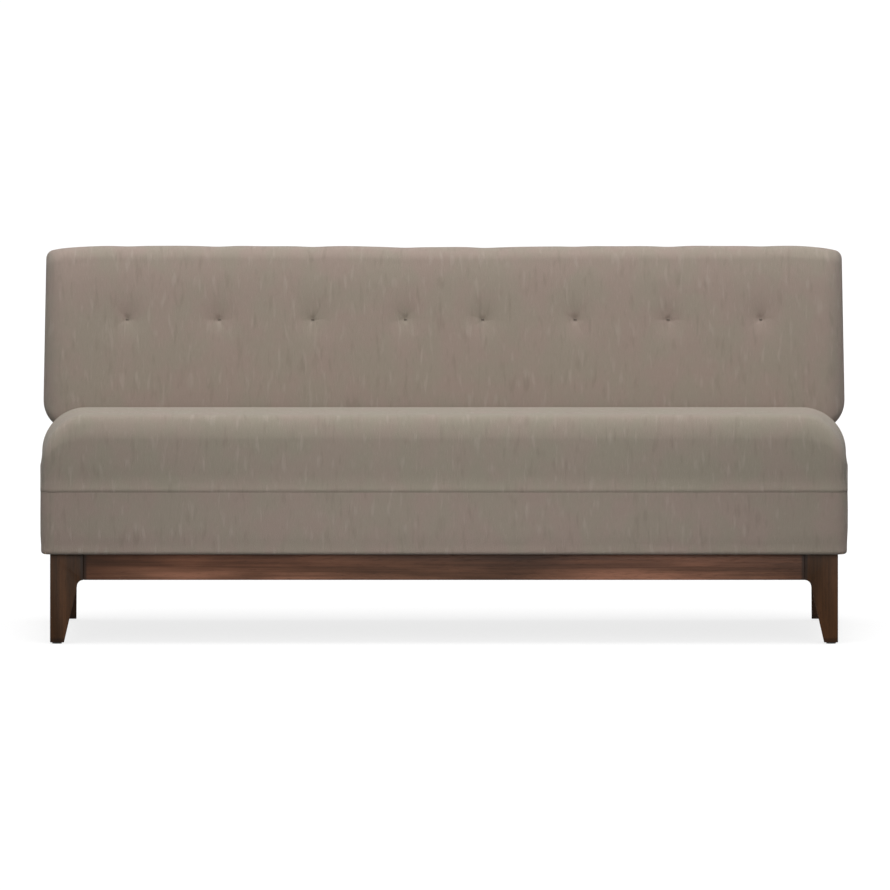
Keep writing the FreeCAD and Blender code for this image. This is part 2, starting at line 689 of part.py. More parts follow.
def offset_both_ways(line, reach):
    """Outline of a path with mitred turns, reach to each side of it."""
    left, right = [], []
    for number, (x, y) in enumerate(line):
        before = line[max(number - 1, 0)]
        after = line[min(number + 1, len(line) - 1)]
        first = direction(before, (x, y)) if number else direction((x, y), after)
        second = direction((x, y), after) if number < len(line) - 1 else first
        bisector = first[0] + second[0], first[1] + second[1]
        scale = reach * 2 / (bisector[0] ** 2 + bisector[1] ** 2)
        across = -bisector[1] * scale, bisector[0] * scale
        left.append((x + across[0], y + across[1]))
        right.append((x - across[0], y - across[1]))
    return left + right[::-1]


def direction(start, stop):
    length = math.hypot(stop[0] - start[0], stop[1] - start[1])
    return (stop[0] - start[0]) / length, (stop[1] - start[1]) / length


def spring_clip(middle, end, way):
    """A bent clip: a foot on the rail, a spine past the spring's end bar and a lip over the bar."""
    sheet_thickness = float(dim["clip_sheet"])
    gap = float(dim["soft_gap"])
    foot = float(rail_top)
    bed = float(spring_base)
    roof = float(insulator_base) + gap
    spine = end + way * gap
    back = spine + way * sheet_thickness
    tail = end - way * float(dim["clip_reach"]) / 2
    profile = [
        (tail, foot), (back, foot), (back, roof + sheet_thickness), (tail, roof + sheet_thickness),
        (tail, roof), (spine, roof), (spine, bed), (tail, bed),
    ]
    x = middle - float(dim["clip_width"]) / 2
    face = Part.Face(Part.makePolygon([Vector(x, *point) for point in profile + profile[:1]]))
    return face.extrude(Vector(float(dim["clip_width"]), 0, 0))


def shape_node(label, shape, placement=None):
    """A sub-part whose form is worked out here, in its own axes, and then placed."""
    item = doc.addObject("Part::Feature", f"{label}_form")
    item.Shape = shape
    item.Placement = placement or FreeCAD.Placement()
    return finish(label, item)


shape_node("seat_springs", Part.makeCompound([sinuous_spring(middle) for middle in spring_middles()]))
shape_node("spring_clips", Part.makeCompound([
    spring_clip(middle, float(end), way) for middle in spring_middles()
    for end, way in ((spring_low, -1), (spring_high, 1))]))
across_turn = FreeCAD.Rotation(Vector(0, 1, 0), 90)
group("spring_tie_wires", [
    bar("tie_wire", BOLT_SIDES, dim["tie_wire"], inner_half * 2, (
        -inner_half, inner_front + (inner_rear - inner_front) * share, spring_base - dim["tie_wire"]),
        across_turn)
    for share in THIRDS])
finish("spring_insulator", board("spring_insulator_sheet", (
    (inner_half - dim["soft_gap"]) * 2, post_front - inner_front - dim["soft_gap"] * 2, dim["insulator"]), (
    dim["soft_gap"] - inner_half, inner_front + dim["soft_gap"], insulator_base)))

# Border band, its felt and the dust cover
band = doc.addObject("PartDesign::Body", "band_body")
band_outer = round_rectangle(half_width, seat_front, seat_rear, dim["seat_corner"])
band_lining = round_rectangle(half_width - dim["cloth"], seat_front + dim["cloth"],
                              seat_rear - dim["cloth"], dim["seat_corner"] - dim["cloth"])


def inner_rectangle(inset):
    return rectangle(inset - half_width, half_width - inset, seat_front + inset, seat_rear - inset)


for name, inner, base, height in (
        ("hem", inner_rectangle(dim["hem_turn"]), seat_base, dim["cloth"]),
        ("wall", band_lining, frame_base, dim["band_height"] - dim["cloth"] * 2),
        ("seam_turn", inner_rectangle(dim["seam_turn"]), seam - dim["cloth"], dim["cloth"])):
    ring = sketch_in(band, f"band_{name}_outline", "XY_Plane", [band_outer, inner], base)
    pad(band, f"band_{name}", ring, height)
finish("seat_band", band)

felt = doc.addObject("PartDesign::Body", "band_padding_body")
felt_ring = sketch_in(felt, "band_padding_outline", "XY_Plane", [
    band_lining, inner_rectangle(rail_inset)], frame_base)
pad(felt, "band_padding_wall", felt_ring, dim["band_height"] - dim["cloth"] * 2)
finish("band_padding", felt)

dust_sheet = board("dust_cover_sheet", (
    (half_width - dim["hem_turn"]) * 2, dim["seat_depth"] - dim["hem_turn"] * 2, dim["cloth"]), (
    dim["hem_turn"] - half_width, seat_front + dim["hem_turn"], seat_base))
cut("dust_cover", dust_sheet, frame_bolt_holes("dust_cover", seat_base, frame_base))


# Soft forms: closed sections across the sofa, lofted from end to end
def fall(distance, radius):
    """How far a quarter round has dropped back at a distance from its end."""
    reach = max(radius - distance, 0.0)
    return radius - math.sqrt(radius * radius - reach * reach)


def end_stations(radius):
    """Distances from an end at even turns round its roll."""
    return [radius * (1 - math.cos(math.pi / 2 * step / ROLL_STEPS)) for step in range(ROLL_STEPS + 1)]


def rounded_section(corners, place, bevelled):
    """A closed wire through corners of (first, second, radius, swell of the edge that follows).

    A bevelled section has a straight cut in place of each round.
    """
    count = len(corners)
    points = [Vector(first, second, 0) for first, second, _, _ in corners]
    trims = []
    for number, (_, _, radius, _) in enumerate(corners):
        before = (points[number - 1] - points[number]).normalize()
        after = (points[(number + 1) % count] - points[number]).normalize()
        half_turn = before.getAngle(after) / 2
        tangent = radius / math.tan(half_turn)
        bisector = (before + after).normalize()
        centre = points[number] + bisector * (radius / math.sin(half_turn))
        trims.append((points[number] + before * tangent, centre - bisector * radius,
                      points[number] + after * tangent))
    edges = []
    for number, (_, _, radius, swell) in enumerate(corners):
        start, middle, stop = trims[number]
        if radius > 0 and bevelled:
            edges.append(Part.LineSegment(place(start), place(stop)).toShape())
        elif radius > 0:
            edges.append(Part.Arc(*map(place, (start, middle, stop))).toShape())
        after = trims[(number + 1) % count][0]
        if swell > 0:
            along = after - stop
            out = Vector(along.y, -along.x, 0).normalize() * swell
            edges.append(Part.Arc(place(stop), place((stop + after) / 2 + out), place(after)).toShape())
        else:
            edges.append(Part.LineSegment(place(stop), place(after)).toShape())
    return Part.Wire(edges)


def lofted(section, half, distances):
    """A loft through the section at each distance in from both ends."""
    places = [(distance - half, distance) for distance in distances]
    places += [(half - distance, distance) for distance in reversed(distances)]
    return Part.makeLoft([section(x, distance) for x, distance in places], True, True)


def seat_form(inset, bevelled=False):
    """The crowned seat with its roll and rear shelf, drawn in by inset everywhere but underneath."""
    number = {name: float(value) for name, value in dim.items()}
    half = float(half_width) - number["cushion_inset"] - inset
    rise = number["seat_rise"] - inset
    ledge = number["shelf_rise"] - inset
    floor = float(seam)

    def section(x, distance):
        corner = fall(distance, number["seat_corner"] - inset)
        front = float(seat_front) + number["cushion_inset"] + inset + corner
        rear = float(seat_rear) - number["cushion_inset"] - inset - corner
        drop_face = float(crease) - inset
        height = rise - fall(distance, number["seat_roll"] - inset)
        ledge_height = ledge - fall(distance, number["shelf_roll"] - inset)
        roll = (number["seat_roll"] - inset) * height / rise
        drop_roll = (number["crease_roll"] - inset) * (height - ledge_height) / (rise - ledge)
        edge = (number["shelf_edge"] - inset) * ledge_height / ledge
        return rounded_section([
            (rear, floor, 0, 0),
            (rear, floor + ledge_height, edge, 0),
            (drop_face, floor + ledge_height, 0, 0),
            (drop_face, floor + height, drop_roll, number["seat_crown"] * height / rise),
            (front, floor + height, roll, 0),
            (front, floor, 0, 0),
        ], lambda point: Vector(x, point.x, point.y), bevelled)

    return lofted(section, half, end_stations(number["seat_roll"] - inset))


def back_form(inset, bevelled=False):
    """The leaning back in its own axes: crowned front, rolled edges, ends drawn in towards the top."""
    number = {name: float(value) for name, value in dim.items()}
    half = float(half_width) - number["back_inset"] - inset
    length = float(back_length)
    slope = math.tan(math.radians(number["back_recline"]))
    under = inset / math.cos(math.radians(number["back_recline"]))
    run = number["back_drop_run"]

    def section(x, distance):
        front = (number["back_crown"] + inset + fall(distance, number["back_end_roll"] - inset))
        rear = number["back_thickness"] - inset - fall(distance, number["back_rear_roll"] - inset)
        nearness = max(0.0, 1 - distance / run)
        drop = number["back_top_drop"] * nearness ** 2
        lean = math.copysign(number["back_draw_in"] * nearness / length, x)
        top = length - inset - drop - fall(distance, number["back_top_corner"] - inset)
        lift = under + fall(distance, number["back_bottom_corner"] - inset)
        return rounded_section([
            (rear, rear * slope + lift, 0, 0),
            (rear, top, number["back_rear_roll"] - inset, 0),
            (front, top, number["back_front_roll"] - inset, number["back_crown"]),
            (front, front * slope + lift, number["back_foot_roll"] - inset, 0),
        ], lambda point: Vector(x - lean * point.y, point.x, point.y), bevelled)

    return lofted(section, half, end_stations(number["back_end_roll"] - inset) + [run])


def post_slots(low, high, front, rear):
    """Room for the posts between two levels, in the axes of front and rear as (depth, height) pairs."""
    gap = float(dim["soft_gap"])
    reach = float(dim["post_thickness"]) / 2 + gap
    slots = []
    for x in post_places:
        corners = [
            (front[0] - gap, low), (rear[0] + gap, low), (rear[1] + gap, high), (front[1] - gap, high)]
        wire = Part.makePolygon([Vector(float(x) - reach, y, z) for y, z in corners + corners[:1]])
        slots.append(Part.Face(wire).extrude(Vector(2 * reach, 0, 0)))
    return slots


def slanted(start, stop, level):
    """Depth of the line from start to stop at a level."""
    (start_y, start_z), (stop_y, stop_z) = [(float(y), float(z)) for y, z in (start, stop)]
    return start_y + (stop_y - start_y) * (level - start_z) / (stop_z - start_z)


# The posts leave the seat through slots that follow their crank
crank_front = (post_front, rail_top - dim["post_depth"]), in_back(frame_front, foot_rise)
crank_rear = (inner_rear, rail_top), in_back(frame_rear, frame_rear * lean_sin / lean_cos)
slot_low, slot_high = float(rail_top), float(shelf + dim["cloth"])
seat_slots = post_slots(
    slot_low, slot_high,
    [slanted(*crank_front, level) for level in (slot_low, slot_high)],
    [slanted(*crank_rear, level) for level in (slot_low, slot_high)])
cloth = float(dim["cloth"])
under_wadding = cloth + float(dim["wadding"])
seat_core = seat_form(under_wadding, bevelled=True)
shape_node("seat_foam", seat_core.cut(seat_slots))
shape_node("seat_wadding", seat_form(cloth).cut([seat_core] + seat_slots))
shape_node("seat_cover", seat_form(0.0).cut([seat_form(cloth)] + seat_slots))


# Tufts: the cover is drawn in by a hollow that steepens to a pinch
tuft_run = float(dim["tuft_reach"] - dim["tuft_pinch"])


def hollow_depth(inset, across):
    """Depth of a tuft's hollow so far across from its rim, in a layer lying inset under the cover."""
    sink = float(dim["tuft_depth"] + dim["tuft_rim"])
    outer = (tuft_run * tuft_run + sink * sink) / (2 * sink)
    radius = outer - inset
    return float(tuft_front - dim["tuft_rim"]) + outer - math.sqrt(radius * radius - across * across)


def ringed_solid(rings):
    """A closed solid with a flat end on its first and last ring and flat facets between its rings."""
    outlines = [rings[0], rings[-1]]
    for outer, inner in zip(rings, rings[1:]):
        outlines += [[outer[side], outer[side + 1], inner[side + 1], inner[side], outer[side]]
                     for side in range(len(outer) - 1)]
    solid = Part.makeSolid(Part.makeShell([Part.Face(Part.makePolygon(outline)) for outline in outlines]))
    if solid.Volume < 0:
        solid.reverse()
    return solid


def tuft_hollow(x, inset):
    """The solid that a tuft takes out of the cover: it narrows on a round from the rim to the pinch."""
    reach = float(dim["tuft_reach"])
    rings = [tuft_ring(x, reach, float(tuft_front) - reach, TUFT_SIDES)]
    for step in range(TUFT_STEPS + 1):
        across = tuft_run * step / TUFT_STEPS
        rings.append(tuft_ring(x, reach - across, hollow_depth(inset, across), TUFT_SIDES))
    return ringed_solid(rings)


def tuft_funnel(x, inset):
    """The plain funnel taken out of the wadding, wide enough to stay clear of the cover's hollow."""
    widening = 1 / math.cos(math.pi / FUNNEL_SIDES)
    reach = float(dim["tuft_reach"]) * widening
    pinch = float(dim["tuft_pinch"]) * widening
    return ringed_solid([
        tuft_ring(x, reach, float(tuft_front) - reach, FUNNEL_SIDES),
        tuft_ring(x, reach, hollow_depth(inset, 0), FUNNEL_SIDES),
        tuft_ring(x, pinch, hollow_depth(inset, tuft_run), FUNNEL_SIDES),
    ])


def tuft_ring(x, radius, depth, sides):
    """Corners of an even-sided ring round a tuft at one depth of the back, the first given again."""
    up = float(tuft_rise)
    turns = [2 * math.pi * turn / sides for turn in range(sides + 1)]
    return [Vector(x + radius * math.cos(turn), depth, up + radius * math.sin(turn)) for turn in turns]


def through_rod(x, radius, front, rear):
    """A straight rod at a tuft, from one depth of the back to another."""
    outline = Part.makePolygon(tuft_ring(x, radius, float(front), ROD_SIDES))
    return Part.Face(outline).extrude(Vector(0, float(rear) - float(front), 0))


def back_block(half, front, rear, low, high):
    """A block about the middle of the back, in the back's own axes."""
    return Part.makeBox(2 * half, rear - front, high - low, Vector(-half, front, low))


thickness = float(dim["back_thickness"])
past_top = float(back_length) * 2
hole_radius = dim["tie_radius"] + dim["tie_gap"]
tie_holes = [through_rod(x, float(hole_radius), tuft_front, frame_rear) for x in tuft_places]
foot_slots = post_slots(-float(dim["post_depth"]), float(dim["lower_rail_rise"]),
                        [float(frame_front)] * 2, [float(frame_rear)] * 2)
frame_space = back_block(float(frame_half), float(liner_front), float(frame_rear),
                         -float(dim["post_depth"]), float(frame_top))
back_core = back_form(under_wadding, bevelled=True)
cores = [through_rod(x, float(dim["tuft_core"]), tuft_front, dim["tuft_core_depth"]) for x in tuft_places]
shape_node("back_foam", back_core.cut([frame_space] + cores + tie_holes), back_place)
shape_node("back_wadding", back_form(cloth).cut(
    [tuft_funnel(x, cloth) for x in tuft_places] + [back_core, frame_space] + foot_slots), back_place)
cover = back_form(0.0).cut([tuft_hollow(x, 0.0) for x in tuft_places])
cover = cover.cut(back_form(cloth).cut([tuft_hollow(x, cloth) for x in tuft_places]))
cover = cover.cut(foot_slots + tie_holes)
rear_panel = back_block(past_top, thickness - cloth, thickness + cloth, -past_top, past_top)
shape_node("back_front_cover", cover.cut(rear_panel), back_place)
shape_node("back_rear_cover", cover.common(rear_panel), back_place)

# Webbing, liner and the ties that hold the tufts
depth_turn = lean_turn * rearward_turn


def tuft_bars(name, radius, front, rear):
    """A straight bar at every tuft, square to the back, between two of its depths."""
    y, z = in_back(front, tuft_rise)
    return [bar(name, ROD_SIDES, radius, rear - front, (x, y, z), depth_turn) for x in tuft_places]


strap_low = stile_foot + dim["strap_end"]
strap_high = frame_top - dim["strap_end"]
straps = doc.addObject("Part::Compound", "webbing_straps")
straps.Links = [back_board("webbing_strap", (
    dim["webbing_width"], dim["webbing"], strap_high - strap_low), (
    size(x) - dim["webbing_width"] / 2, webbing_front, strap_low)) for x in tuft_places]
cut("back_webbing", straps, tuft_bars("webbing_hole", hole_radius, webbing_front, frame_front))
liner_sheet = back_board("back_liner_sheet", (
    frame_half * 2, dim["liner"], frame_top - stile_foot), (-frame_half, liner_front, stile_foot))
cut("back_liner", liner_sheet, tuft_bars("liner_hole", hole_radius, liner_front, webbing_front))
group("tuft_ties", tuft_bars("tuft_tie", dim["tie_radius"], tuft_bottom, frame_front))
group("tuft_toggles", [back_board("tuft_toggle", (
    dim["toggle_width"], dim["toggle_thickness"], dim["toggle_length"]), (
    size(x) - dim["toggle_width"] / 2, frame_front, tuft_rise - dim["toggle_length"] / 2))
    for x in tuft_places])

doc.recompute()
for item in doc.Objects:
    if "Invalid" in item.State or "Error" in item.State:
        raise RuntimeError(f"{item.Label} did not build: {item.State}")
for label, item in nodes.items():
    if item.Shape.isNull() or not item.Shape.isValid():
        raise RuntimeError(f"{label} has no valid shape")

os.makedirs("parts", exist_ok=True)
for label, item in nodes.items():
    item.Shape.exportStep(f"parts/{label}.step")
print(f"{len(nodes)} sub-parts, depth {float(sofa_depth):.1f}, back {float(back_length):.1f} up its slope")
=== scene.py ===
"""Looks of an armless sofa section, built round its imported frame.

Metres, +Z up, the front faces -Y, +X to the right seen from the front. The cloth pieces are grids worked
out with numpy, filled out by a short cloth simulation, and every finish is procedural.
"""
import logging
import math
from contextlib import contextmanager
from dataclasses import dataclass
from enum import Enum
from typing import Callable, Iterator, Optional, Sequence

import bmesh
import bpy
import numpy as np
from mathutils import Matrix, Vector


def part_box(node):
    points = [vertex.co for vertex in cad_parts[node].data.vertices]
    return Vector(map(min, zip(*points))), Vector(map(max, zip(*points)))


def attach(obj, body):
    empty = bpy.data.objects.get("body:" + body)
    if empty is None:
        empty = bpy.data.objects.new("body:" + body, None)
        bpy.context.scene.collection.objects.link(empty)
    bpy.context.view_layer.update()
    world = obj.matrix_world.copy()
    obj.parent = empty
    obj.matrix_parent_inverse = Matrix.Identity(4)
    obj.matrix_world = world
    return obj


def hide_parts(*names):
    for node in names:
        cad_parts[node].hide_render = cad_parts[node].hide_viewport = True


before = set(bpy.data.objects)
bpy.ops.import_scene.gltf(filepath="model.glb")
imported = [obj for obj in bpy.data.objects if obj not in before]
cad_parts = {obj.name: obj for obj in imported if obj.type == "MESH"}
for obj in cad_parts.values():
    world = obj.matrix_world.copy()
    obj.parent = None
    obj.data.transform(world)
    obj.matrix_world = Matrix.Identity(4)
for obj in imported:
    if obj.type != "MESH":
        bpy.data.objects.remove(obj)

Array = np.ndarray
Colour = tuple[float, float, float]
Material = bpy.types.Material
Piece = bpy.types.Object
Socket = bpy.types.NodeSocket

LOG = logging.getLogger("sofa")
BODY = "root"
CLOTH_MAP = "Cloth"
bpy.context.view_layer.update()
TINY = 1e-12
SPREAD_SAMPLES = 4000
WHITE = (1.0, 1.0, 1.0)


class Grain(Enum):
    """The order of a wooden piece's axes, with the one along its fibres first."""

    ACROSS = (0, 1, 2)
    REARWARD = (1, 0, 2)
    UPRIGHT = (2, 1, 0)


# Grids and paths
def spread(low: float, high: float, spacing: Callable[[Array], Array]) -> Array:
    """Places from low to high, as far apart as the spacing asks for at each of them.

    The number of places up to a point is the integral of one over the spacing, and it is inverted at whole
    numbers.

    Args:
        low: First place.
        high: Last place.
        spacing: Wanted distance between neighbours, as a function of place.

    Returns:
        Rising places, both ends included.
    """
    fine = np.linspace(low, high, SPREAD_SAMPLES)
    rate = 1.0 / spacing(fine)
    count = np.concatenate([[0.0], np.cumsum((rate[1:] + rate[:-1]) / 2 * np.diff(fine))])
    whole = max(2, int(round(count[-1])))
    return np.interp(np.linspace(0.0, count[-1], whole + 1), count, fine)


def fall(distance: Array, radius: float) -> Array:
    """How far a quarter round has dropped back at a distance from its end.

    Args:
        distance: Distances in from the end.
        radius: Radius of the quarter round.

    Returns:
        Radius minus the height of the round there, and zero past the radius.
    """
    reach = np.clip(radius - distance, 0.0, None)
    return radius - np.sqrt(np.clip(radius * radius - reach * reach, 0.0, None))


def unit(vectors: Array) -> Array:
    """Vectors scaled to length one; zero vectors stay zero."""
    return vectors / np.maximum(np.linalg.norm(vectors, axis=-1, keepdims=True), TINY)


def bell(values: Array) -> Array:
    """Bell curve: e to the minus square of the values."""
    return np.exp(-values ** 2)


def table(*columns: object) -> Array:
    """Stacks arrays and single numbers as the columns of one table."""
    return np.stack(np.broadcast_arrays(*columns), axis=1)


def mirrored(half: Array) -> Array:
    """Half a grid's rows and the same rows back again, with the middle one once."""
    return np.concatenate([half, half[-2::-1]])


def rounded_path(corners: Array, radii: Array, runs: Sequence[Array],
                 swells: Sequence[float], arc_steps: Sequence[int]) -> Array:
    """Paths with straight runs and round corners, one for each row of corners.

    A round is the weighted sum of its two spokes, with the sines of the turn's two parts as weights. A run
    with a swell stands out from its straight line by a parabola.

    Args:
        corners: (rows, corners, 2) corners in order.
        radii: (rows, corners) radius at each corner; the first and last are ends and have none.
        runs: Fractions along each run between two rounds, both ends left out.
        swells: Height of the parabola on each run, to the left of its direction.
        arc_steps: Steps round each inner corner.

    Returns:
        (rows, points, 2) points of the paths.
    """
    starts, stops, arcs = [corners[:, 0]], [], []
    for number, steps in enumerate(arc_steps, 1):
        point, radius = corners[:, number], radii[:, number]
        before, after = unit(corners[:, number - 1] - point), unit(corners[:, number + 1] - point)
        half_turn = np.arccos(np.clip(np.sum(before * after, axis=1), -1, 1)) / 2
        tangent = (radius / np.tan(half_turn))[:, None]
        centre = point + unit(before + after) * (radius / np.sin(half_turn))[:, None]
        first, second = point + before * tangent - centre, point + after * tangent - centre
        turn = (np.pi - 2 * half_turn)[:, None, None]
        share = np.linspace(0, 1, steps + 1)[None, :, None]
        arc = np.sin((1 - share) * turn) * first[:, None] + np.sin(share * turn) * second[:, None]
        arcs.append(arc / np.sin(turn) + centre[:, None])
        stops.append(centre + first)
        starts.append(centre + second)
    stops.append(corners[:, -1])
    arcs.append(corners[:, -1:])
    parts = [corners[:, :1]]
    for start, stop, share, swell, arc in zip(starts, stops, runs, swells, arcs):
        along = stop - start
        side = unit(np.stack([along[:, 1], -along[:, 0]], axis=1))
        share = np.asarray(share)[None, :, None]
        run = start[:, None] + along[:, None] * share
        parts += [run + side[:, None] * 4 * share * (1 - share) * swell, arc]
    return np.concatenate(parts, axis=1)


def lengths(points: Array, axis: int) -> Array:
    """Distance walked along the grid's rows (axis 0) or columns (axis 1), from the first one."""
    steps = np.linalg.norm(np.diff(points, axis=axis), axis=-1)
    start = np.zeros_like(np.take(steps, [0], axis=axis))
    return np.concatenate([start, np.cumsum(steps, axis=axis)], axis=axis)


def walked_map(points: Array, level: int, start: Array) -> tuple[Array, Array]:
    """Cloth map of a grid by walked lengths: across from its middle row, and along from one column.

    Args:
        points: (rows, columns, 3) grid.
        level: The column from which the lengths along each row are counted.
        start: (rows, 1) map value along the rows in that column.

    Returns:
        The (rows, columns, 2) map in metres, and the (rows, 1) lengths across.
    """
    walked = lengths(points[:, level:level + 1], 0)
    walked = walked - walked[len(walked) // 2]
    along = lengths(points, 1)
    along = along - along[:, level:level + 1] + start
    return np.stack([np.broadcast_to(walked, along.shape), along], axis=-1), walked


def smooth(field: Array, passes: int) -> Array:
    """A field on a grid after so many passes of the one-two-one mean both ways, its edges held."""
    result = field.copy()
    for _ in range(passes):
        result[1:-1] = (result[:-2] + 2 * result[1:-1] + result[2:]) / 4
        result[:, 1:-1] = (result[:, :-2] + 2 * result[:, 1:-1] + result[:, 2:]) / 4
    return result


def limited(vectors: Array, most: float) -> Array:
    """Vectors shortened softly so that none is longer than the most allowed."""
    size = np.linalg.norm(vectors, axis=-1, keepdims=True)
    return vectors * np.where(size > TINY, most * np.tanh(size / most) / np.maximum(size, TINY), 1.0)


def grid_faces(rows: int, columns: int, closed_rows: bool = False, closed_columns: bool = False) -> Array:
    """Quads of a grid of points.

    Args:
        rows: Rows of points.
        columns: Points in each row.
        closed_rows: The last row joins the first.
        closed_columns: The last column joins the first.

    Returns:
        (faces, 4) indices into the flattened grid.
    """
    first = np.arange(rows if closed_rows else rows - 1)[:, None]
    second = np.arange(columns if closed_columns else columns - 1)[None, :]
    next_row, next_column = (first + 1) % rows, (second + 1) % columns
    corners = [first * columns + second, next_row * columns + second,
               next_row * columns + next_column, first * columns + next_column]
    return np.stack(corners, axis=-1).reshape(-1, 4)


# Pieces in the scene
def add_object(name: str, data: bpy.types.ID) -> Piece:
    """Puts data into the scene as a new object at the origin."""
    thing = bpy.data.objects.new(name, data)
    bpy.context.scene.collection.objects.link(thing)
    return thing


def shade_smooth(mesh: bpy.types.Mesh) -> None:
    """Marks every face of a mesh as smooth."""
    mesh.polygons.foreach_set("use_smooth", np.ones(len(mesh.polygons), dtype=bool))


@contextmanager
def opened(mesh: bpy.types.Mesh) -> Iterator[bmesh.types.BMesh]:
    """Lends a mesh out for editing and writes it back afterwards."""
    shell = bmesh.new()
    shell.from_mesh(mesh)
    yield shell
    shell.to_mesh(mesh)
    shell.free()


def make_mesh(name: str, points: Array, faces: Array, uv: Optional[Array] = None) -> Piece:
    """Puts points, faces and a cloth map into a new object at the origin.

    Args:
        name: Name of the piece.
        points: Points, in metres.
        faces: Indices of each face's points.
        uv: A map value in metres for each point, or for each corner of each face.

    Returns:
        The new object.
    """
    mesh = bpy.data.meshes.new(name)
    flat = points.reshape(-1, 3)
    mesh.from_pydata(flat.tolist(), [], faces.tolist())
    if uv is not None:
        values = uv.reshape(-1, 2)
        if len(values) == len(flat):
            values = values[faces.ravel()]
        mesh.uv_layers.new(name=CLOTH_MAP).data.foreach_set("uv", values.astype(np.float32).ravel())
    shade_smooth(mesh)
    mesh.update()
    return add_object(name, mesh)


def read_points(mesh: bpy.types.Mesh) -> Array:
    """The mesh's points as an array."""
    flat = np.empty(len(mesh.vertices) * 3, dtype=np.float32)
    mesh.vertices.foreach_get("co", flat)
    return flat.reshape(-1, 3).astype(float)


def close_shell(piece: Piece) -> None:
    """Merges a grid's doubled points, closes what is open, turns its faces outwards and subdivides it.

    What is open is filled with flat triangles, and the subdivision surface smooths the shell once.
    """
    with opened(piece.data) as shell:
        bmesh.ops.remove_doubles(shell, verts=shell.verts, dist=1e-5)
        bmesh.ops.dissolve_degenerate(shell, edges=shell.edges, dist=1e-6)
        rim = [edge for edge in shell.edges if edge.is_boundary]
        if rim:
            bmesh.ops.triangle_fill(shell, use_beauty=True, use_dissolve=False, edges=rim)
        bmesh.ops.recalc_face_normals(shell, faces=shell.faces)
        for face in shell.faces:
            face.smooth = True
    finish = piece.modifiers.new("smooth", "SUBSURF")
    finish.levels = finish.render_levels = 1


CLOTH_SETTINGS = {"quality": 6, "mass": 0.25, "tension_stiffness": 18, "compression_stiffness": 12,
                  "shear_stiffness": 8, "bending_stiffness": 0.25, "vertex_group_mass": "held",
                  "use_pressure": True}


@dataclass(frozen=True)
class Filling:
    """How a padded cover is filled out by the cloth simulation."""

    slack: float
    pressure: float = 2.5
    loose_hold: float = 0.12
    steps: int = 20
    swell_cap: float = 0.004
    crease_cap: float = 0.003
    blur: int = 14

    def fill_out(self, points: Array, held: Array) -> Array:
        """Simulates a grid as cloth under pressure, and keeps a limited part of its movement.

        The movement is split into a blurred part and the creases that are left, and each is limited by
        itself, so the pad keeps its form and the creases stay.

        Args:
            points: (rows, columns, 3) grid before filling.
            held: (rows, columns) true where the cloth is sewn down.

        Returns:
            The filled grid.
        """
        piece = make_mesh("cloth_trial", points, grid_faces(*points.shape[:2]))
        group = piece.vertex_groups.new(name="held")
        group.add(np.flatnonzero(held.ravel()).tolist(), 1.0, "REPLACE")
        group.add(np.flatnonzero(~held.ravel()).tolist(), self.loose_hold, "REPLACE")
        cloth = piece.modifiers.new("cloth", "CLOTH")
        for name, value in {**CLOTH_SETTINGS, "uniform_pressure_force": self.pressure,
                            "shrink_min": -self.slack, "shrink_max": -self.slack}.items():
            setattr(cloth.settings, name, value)
        cloth.settings.effector_weights.gravity = 0
        cloth.collision_settings.use_collision = False
        cloth.point_cache.frame_start, cloth.point_cache.frame_end = 1, self.steps
        scene = bpy.context.scene
        for step in range(1, self.steps + 1):
            scene.frame_set(step)
        settled = piece.evaluated_get(bpy.context.evaluated_depsgraph_get()).to_mesh()
        moved = read_points(settled).reshape(points.shape) - points
        bpy.data.objects.remove(piece)
        scene.frame_set(1)
        broad = smooth(moved, self.blur)
        return points + limited(broad, self.swell_cap) + limited(moved - broad, self.crease_cap)


